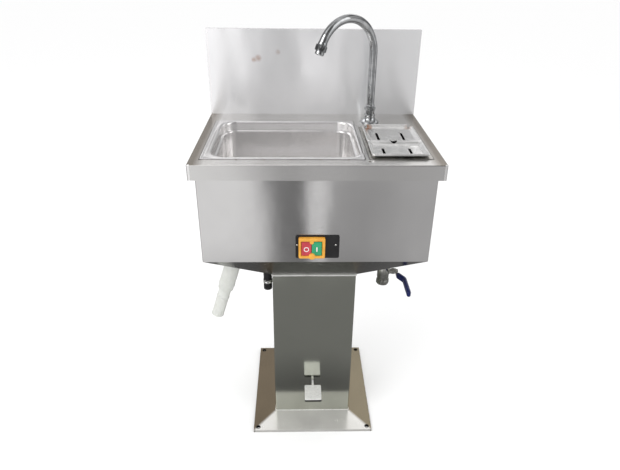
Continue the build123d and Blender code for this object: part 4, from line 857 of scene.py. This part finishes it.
# ---- Plastic pieces of the push-button switch ----
# A black moulded plate on the cabinet, with an amber frame snapped on it and two spring-loaded buttons.
# All are injection moulded with a fine grain, and each button carries a raised mark.
moulding, entry = effect_group("Moulded Plastic", Light=(0.5, 0.5, 0.5, 1), Dark=(0.4, 0.4, 0.4, 1),
                               Grain_Size=900.0, Smooth=0.3, Rough=0.5)
place = node(moulding, "ShaderNodeTexCoord").outputs["Object"]
speck = node(moulding, "ShaderNodeTexNoise", Vector=place, Scale=entry["Grain Size"], Detail=2.0,
             Roughness=0.5).outputs["Fac"]
cloud = node(moulding, "ShaderNodeTexNoise", Vector=place, Scale=45.0, Detail=4.0, Roughness=0.6).outputs["Fac"]
tone = ranged(moulding, cloud, 0.35, 0.65)
tint = blend_colour(moulding, tone, entry["Dark"], entry["Light"])
worn = ranged(moulding, cloud, 0.35, 0.65, entry["Rough"], entry["Smooth"])
leave_group(moulding, tint, worn, speck)


def plastic(name, light, dark, smooth=0.28, rough=0.48, grain_size=900.0, bump=0.15, glow_through=0.0):
    """A moulded plastic with fine spark grain. glow_through lets light spread inside it."""
    material, tree = blank_material(name)
    finish = effect(tree, moulding, light, dark, smooth, rough, Grain_Size=grain_size)
    finish_surface(tree, finish["Color"], finish["Roughness"], relief(tree, finish["Height"], bump, 0.0001),
                   Subsurface_Weight=glow_through, Subsurface_Radius=(0.004, 0.004, 0.0035), Subsurface_Scale=1.0)
    return material


def upright_loop(x, z, width, height, radius, y, steps=5):
    """A rounded rectangle that stands in X and Z at depth y."""
    return [Vector((point.x, y, point.y)) for point in rounded_loop((x, z), (width, height), radius, 0, steps)]


black_plastic = plastic("black_plastic", (0.012, 0.012, 0.013), (0.006, 0.006, 0.007), 0.3, 0.45)
amber_plastic = plastic("amber_plastic", (0.8, 0.4, 0.055), (0.66, 0.3, 0.035), 0.25, 0.42)
red_plastic = plastic("red_plastic", (0.56, 0.055, 0.075), (0.42, 0.035, 0.05), 0.22, 0.4)
green_plastic = plastic("green_plastic", (0.035, 0.36, 0.17), (0.02, 0.26, 0.12), 0.22, 0.4)
pale_print = plastic("pale_print", (0.86, 0.8, 0.78), (0.74, 0.66, 0.64), 0.4, 0.6)
coat(black_plastic, "switch_plate", "switch_body")

bezel_low, bezel_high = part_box("switch_bezel")
stop_low, stop_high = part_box("stop_button")
start_low, start_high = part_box("start_button")
bezel_x = (bezel_low.x + bezel_high.x) / 2
bezel_width, bezel_height = bezel_high.x - bezel_low.x, 0.057
bezel_z = bezel_high.z - bezel_height / 2
window_x = (stop_low.x + start_high.x) / 2
window_z = (stop_low.z + stop_high.z) / 2
window_width, window_height = start_high.x - stop_low.x + 0.0006, stop_high.z - stop_low.z + 0.0006
face_y, bezel_depth = bezel_low.y, bezel_high.y - bezel_low.y


def frame_ring(shrink, y, corner):
    """Outer loop of the amber frame."""
    return upright_loop(bezel_x, bezel_z, bezel_width - 2 * shrink, bezel_height - 2 * shrink, corner, y)


def window_ring(grow, y, corner):
    """Inner loop of the amber frame, about its window."""
    return upright_loop(window_x, window_z, window_width + 2 * grow, window_height + 2 * grow, corner, y)


bezel_loops = [frame_ring(inset, face_y + depth, corner) for inset, depth, corner in (
    (0, bezel_depth, 0.004), (0, 0.0022, 0.004), (0.0007, 0.0008, 0.0038), (0.0022, 0.0001, 0.003), (0.0034, 0, 0.003))]
bezel_loops += [window_ring(grow, face_y + depth, corner) for grow, depth, corner in (
    (0.003, 0.0001, 0.003), (0.0022, 0.0006, 0.0026), (0.0006, 0.0034, 0.002), (0, 0.0045, 0.0016),
    (0, bezel_depth, 0.0016))]
bump_centre = (bezel_x + 0.0005, bezel_low.z + 0.0085)
pad = [(0.0085, 0.009), (0.0085, 0.0012), (0.008, 0.0004), (0.007, 0.0)]
lower_bump = knob_shape(pad, (bump_centre[0], face_y, bump_centre[1]), (0, 1, 0), 32)
upper_pad = [(0.0052, 0.0026), (0.0052, 0.0008), (0.0044, 0.0001)]
upper_bump = knob_shape(upper_pad, (window_x, face_y, window_z + window_height / 2 - 0.0005), (0, 1, 0), 28)
piece("amber_frame", joined(skin(bezel_loops, closed=True), lower_bump, upper_bump), amber_plastic, "stand",
      "yellow_plastic", "switch_bezel")


def button(name, low, high, material, body, slot_name, cad_node, mark):
    """A push button with a rounded front, a shallow dish and its raised mark."""
    x, z = (low.x + high.x) / 2, (low.z + high.z) / 2
    width, height, front, back = high.x - low.x, high.z - low.z, low.y, high.y

    def level(shrink, depth, corner):
        return upright_loop(x, z, width - 2 * shrink, height - 2 * shrink, corner, front + depth)

    cap_back = 0.009
    cap = skin([level(0, cap_back, 0.0012), level(0, 0.002, 0.0014), level(0.0005, 0.0008, 0.002),
                level(0.0016, 0.0001, 0.003), level(0.003, 0.0, 0.004), level(0.0046, 0.0005, 0.005),
                level(0.0075, 0.0011, 0.0045), level(0.0105, 0.0014, 0.0018)])
    stem = knob_shape([(0.003, cap_back), (0.003, back - front)], (x, front, z), (0, 1, 0), 20)
    piece(name, joined(cap, stem), material, body, slot_name, cad_node)
    piece(name + "_mark", mark(x, front, z), pale_print, body, slot_name)


def ring_mark(x, front, z):
    """A raised ring."""
    return tube_shape([(0.0066, 0.0016), (0.0066, 0.0005), (0.0061, 0.0002), (0.005, 0.0002),
                       (0.0045, 0.0005), (0.0045, 0.0016)], (x, front, z - 0.002), (0, 1, 0), 36)


def bar_mark(x, front, z):
    """A raised upright bar."""
    return skin([upright_loop(x, z - 0.002, 0.003, 0.0125, 0.001, front + depth) for depth in (0.0016, 0.0004)]
                + [upright_loop(x, z - 0.002, 0.0022, 0.0117, 0.0008, front + 0.0001)])


button("stop_cap", stop_low, stop_high, red_plastic, "stop_push", "red_plastic", "stop_button", ring_mark)
button("start_cap", start_low, start_high, green_plastic, "start_push", "green_plastic", "start_button", bar_mark)

# ---- Waste spigot ----
# Moulded polypropylene: a union socket through the hopper and a straight tail pushed into it.
# The plastic is natural white and slightly see-through at its edges.
spigot_top, spigot_lean = Vector((-0.215, -0.1, 0.575)), math.radians(17.5)
spigot_axis = Vector((-math.sin(spigot_lean), 0, -math.cos(spigot_lean)))
white_plastic = plastic("white_plastic", (0.66, 0.67, 0.64), (0.6, 0.61, 0.575), 0.3, 0.45, 300.0, 0.1, 0.3)
socket = [(0.014, -0.036), (0.022, -0.036), (0.022, 0.088), (0.0226, 0.0892), (0.0226, 0.0965), (0.0218, 0.099),
          (0.021, 0.11), (0.0202, 0.112), (0.0171, 0.112), (0.0171, 0.092), (0.014, 0.092)]
tail = [(0.014, 0.0923), (0.017, 0.0923), (0.017, 0.1375), (0.018, 0.1385), (0.018, 0.142), (0.017, 0.1432),
        (0.0168, 0.198), (0.0175, 0.2008), (0.0172, 0.204), (0.016, 0.205), (0.0146, 0.2044), (0.014, 0.202)]
for pipe_name, rows, cad_node in (("spigot_socket", socket, "waste_socket"), ("spigot_tail", tail, "waste_pipe")):
    piece(pipe_name, tube_shape(rows, spigot_top, spigot_axis, 56), white_plastic, "stand", "white_plastic", cad_node)

# ---- Drain valve ----
# A cast and machined stainless ball valve under the soak well, with a pressed lever on its stem.
# The lever's grip is a thick sleeve of dipped navy vinyl.
fitting_steel = plated("fitting_steel", (0.62, 0.62, 0.59), (0.34, 0.34, 0.315), 0.1, 0.22, 60.0, 0.05)
valve_low, valve_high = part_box("valve_body")
valve_foot = Vector((0.201, -0.053, valve_low.z))
valve_hex, hex_corner, ball_z = 0.032, 0.01847, (valve_high.z - valve_low.z) / 2
valve_rows = [(0.0106, 0), (0.0162, 0, valve_hex), (hex_corner, 0.0014, valve_hex), (hex_corner, 0.0148, valve_hex),
              (0.0164, 0.016, valve_hex), (0.0142, 0.0163), (0.0142, 0.0176), (0.016, 0.019), (0.017, 0.0225),
              (0.017, 0.0555), (0.016, 0.059), (0.0142, 0.0604), (0.0142, 0.0617), (0.0164, 0.062, valve_hex),
              (hex_corner, 0.0634, valve_hex), (hex_corner, 0.0766, valve_hex), (0.0162, 0.078, valve_hex),
              (0.0106, 0.078), (0.0106, 0.064), (0.008, 0.063), (0.008, ball_z + 0.0101), (0.0103, ball_z + 0.0078),
              (0.012, ball_z + 0.0047), (0.0129, ball_z), (0.012, ball_z - 0.0047), (0.0103, ball_z - 0.0078),
              (0.008, ball_z - 0.0101), (0.008, 0.015), (0.0106, 0.014)]
stem_foot = valve_foot + Vector((0, 0, ball_z))
stem_hole = knob_shape([(0.0043, 0.008), (0.0043, 0.03)], stem_foot, (1, 0, 0), 32)
neck = tube_shape([(0.0043, 0.015), (0.0086, 0.015), (0.0086, 0.0176), (0.0075, 0.019),
                   (0.0075, 0.0244), (0.007, 0.025), (0.0043, 0.025)], stem_foot, (1, 0, 0), 40)
piece("drain_valve_casting", joined(carved(tube_shape(valve_rows, valve_foot, (0, 0, 1), 60), stem_hole), neck),
      fitting_steel, "stand", "fitting_steel", "valve_body")
coat(fitting_steel, "valve_packing_nut", "valve_lever", "valve_lever_nut", "valve_ball", "drain_pipe")
navy_vinyl = plastic("navy_vinyl", (0.006, 0.015, 0.11), (0.004, 0.009, 0.07), 0.22, 0.36)
sleeve_low, sleeve_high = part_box("lever_sleeve")
sleeve_z, grip_x = (sleeve_low.z + sleeve_high.z) / 2, (sleeve_low.x + sleeve_high.x) / 2
grip_line = [(0.2386, -0.0752), (0.2394, -0.0765), (0.24, -0.0775), (0.2526, -0.0983), (0.2534, -0.1),
             (0.254, -0.102), (grip_x, -0.1045), (grip_x, -0.13), (grip_x, -0.165), (grip_x, -0.17), (grip_x, -0.172),
             (grip_x, -0.173)]
grip_shares = [0.72, 0.9, 1.0, 1.0, 1.0, 1.0, 1.0, 1.0, 1.0, 0.97, 0.86, 0.6]
grip_loops = []
for index, (x, y) in enumerate(grip_line):
    before, after = grip_line[max(index - 1, 0)], grip_line[min(index + 1, len(grip_line) - 1)]
    ahead_xy = Vector((after[0] - before[0], after[1] - before[1])).normalized()
    share = grip_shares[index]
    grip_loops.append([Vector((x - ahead_xy.y * spot.x, y + ahead_xy.x * spot.x, sleeve_z + spot.y))
                       for spot in rounded_loop((0, 0), (0.0108 * share, 0.0185 - 0.0108 * (1 - share)),
                                                0.005 * share, 0, 6)])
piece("lever_grip", skin(grip_loops), navy_vinyl, "valve_handle", "blue_sleeve", "lever_sleeve")

# ---- Water inlet ----
# A moulded black bulkhead stem through the hopper with a bright clamp ring, and a black nut on its lower end.
# The supply hose screws on below it.
clamp_steel = plated("clamp_steel", (0.93, 0.93, 0.92), (0.78, 0.78, 0.77), 0.12, 0.24, 80.0)
inlet_foot = Vector((-0.1305, -0.08, 0))
stem_rows = [(0.0045, 0.485), (0.0112, 0.485), (0.012, 0.4858), (0.012, 0.491), (0.0112, 0.4918), (0.0112, 0.4932),
             (0.012, 0.494), (0.012, 0.5144), (0.0113, 0.5152), (0.01, 0.5152), (0.01, 0.5504), (0.0094, 0.5512),
             (0.0045, 0.5512)]
ring_rows = [(0.0045, 0.475), (0.0122, 0.475), (0.013, 0.4758), (0.013, 0.4784), (0.0124, 0.4792), (0.0124, 0.4808),
             (0.013, 0.4816), (0.013, 0.4842), (0.0122, 0.485), (0.0045, 0.485)]
nut_rows = [(0.008, 0.454), (0.0104, 0.454), (0.0115, 0.4545), (0.012, 0.4556), (0.012, 0.459, 0.0228),
            (0.012, 0.469, 0.0228), (0.012, 0.47), (0.0114, 0.4706), (0.0114, 0.4726), (0.012, 0.4732),
            (0.012, 0.4744), (0.0114, 0.475), (0.008, 0.475)]
for part_name, rows, finish, slot_name, cad_node in (
        ("inlet_stem", stem_rows, black_plastic, "black_plastic", "inlet_nipple"),
        ("inlet_ring", ring_rows, clamp_steel, "fitting_steel", "inlet_clamp_ring"),
        ("inlet_nut", nut_rows, black_plastic, "black_plastic", "inlet_tail_nut")):
    piece(part_name, tube_shape(rows, inlet_foot, (0, 0, 1)), finish, "stand", slot_name, cad_node)

# ---- Pedal and foot valve ----
# A folded stainless pad with turned-down edges, welded to a flat arm that pivots in a bracket inside the column.
# The arm presses the plunger of a cast brass foot valve, and a coil spring lifts it again.
pedal_steel = steel("pedal_steel", (0.93, 0.93, 0.91), (0.7, 0.7, 0.68), both_ways, 160.0, 0.34, 0.5, 0.2,
                    metal=0.35)
# The pad's turned-down edges get a near-black steel: painted shade under the pad's bright top.
pedal_edge_shade = steel("pedal_edge_shade", (0.1, 0.1, 0.095), (0.05, 0.05, 0.045), both_ways, 60.0, 0.3, 0.5)
pad_low, pad_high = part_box("pedal_plate")
pad_width, pad_depth = extent(pad_low, pad_high)
pad_rows = [(0.0026, pad_high.z - 0.002), (0.0021, pad_high.z - 0.003), (0.002, pad_low.z + 0.0003),
            (0.0017, pad_low.z), (0.0003, pad_low.z), (0, pad_low.z + 0.0003), (0, pad_high.z - 0.0024),
            (0.0003, pad_high.z - 0.0013), (0.001, pad_high.z - 0.0005), (0.002, pad_high.z - 0.0001),
            (0.0032, pad_high.z)]
pad_loops = [rounded_loop(middle(pad_low, pad_high), (pad_width - 2 * inset, pad_depth - 2 * inset),
                          max(0.001, 0.0038 - inset), z) for inset, z in pad_rows]
pad = piece("pedal_pad", skin(pad_loops), pedal_steel, "pedal", "pedal_steel", "pedal_plate")
# Faces below the pad's top edge take the painted shade.
pad.data.materials.append(pedal_edge_shade)
for face in pad.data.polygons:
    if face.center.z < pad_high.z - 0.0012:
        face.material_index = 1
coat(pedal_steel, "pedal_arm")
coat(fitting_steel, "pedal_bracket", "pedal_pivot_pin", "foot_valve_plunger")
brass = plated("brass", (0.72, 0.52, 0.24), (0.55, 0.38, 0.16), 0.18, 0.34, 60.0)
coat(brass, "foot_valve_body", "tap_shank", "tap_backnut", "heater_bushings")
spring_steel = plated("spring_steel", (0.5, 0.5, 0.48), (0.35, 0.35, 0.33), 0.18, 0.32, 60.0)
coat(spring_steel, "pedal_spring", "stop_spring", "start_spring")

# ---- Hoses, gasket and inner plastic ----
# Water hoses in woven steel braid, a smooth white waste hose with its union nut, and a black rubber gasket.
# They are bought parts, and each hose is held at both ends by the fittings that it joins.


def braided(name):
    """A steel braid: two crossing sets of fine strands over a dark tube."""
    material, tree = blank_material(name)
    spot = node(tree, "ShaderNodeTexCoord").outputs["Object"]
    strands = []
    for lean in (0.75, -0.75):
        leaning = node(tree, "ShaderNodeMapping", Vector=spot, Rotation=(lean, lean, lean))
        strands.append(node(tree, "ShaderNodeTexWave", {"bands_direction": "DIAGONAL"}, Vector=leaning.outputs[0],
                            Scale=190.0, Distortion=1.5, Detail=1.0).outputs["Fac"])
    weave = maths(tree, "MAXIMUM", strands[0], strands[1])
    colour = blend_colour(tree, weave, (0.08, 0.08, 0.08, 1), (0.66, 0.66, 0.65, 1))
    finish_surface(tree, colour, 0.35, relief(tree, weave, 0.5, 0.0004), Metallic=0.9)
    return material


coat(braided("hose_braid"), "tap_supply_hose", "inlet_hose")
coat(white_plastic, "waste_union_nut", "waste_hose", "sink_drain_nut")
coat(black_plastic, "thermostat")
coat(plastic("gasket_rubber", (0.03, 0.03, 0.03), (0.018, 0.018, 0.018), 0.6, 0.8), "sink_drain_gasket")
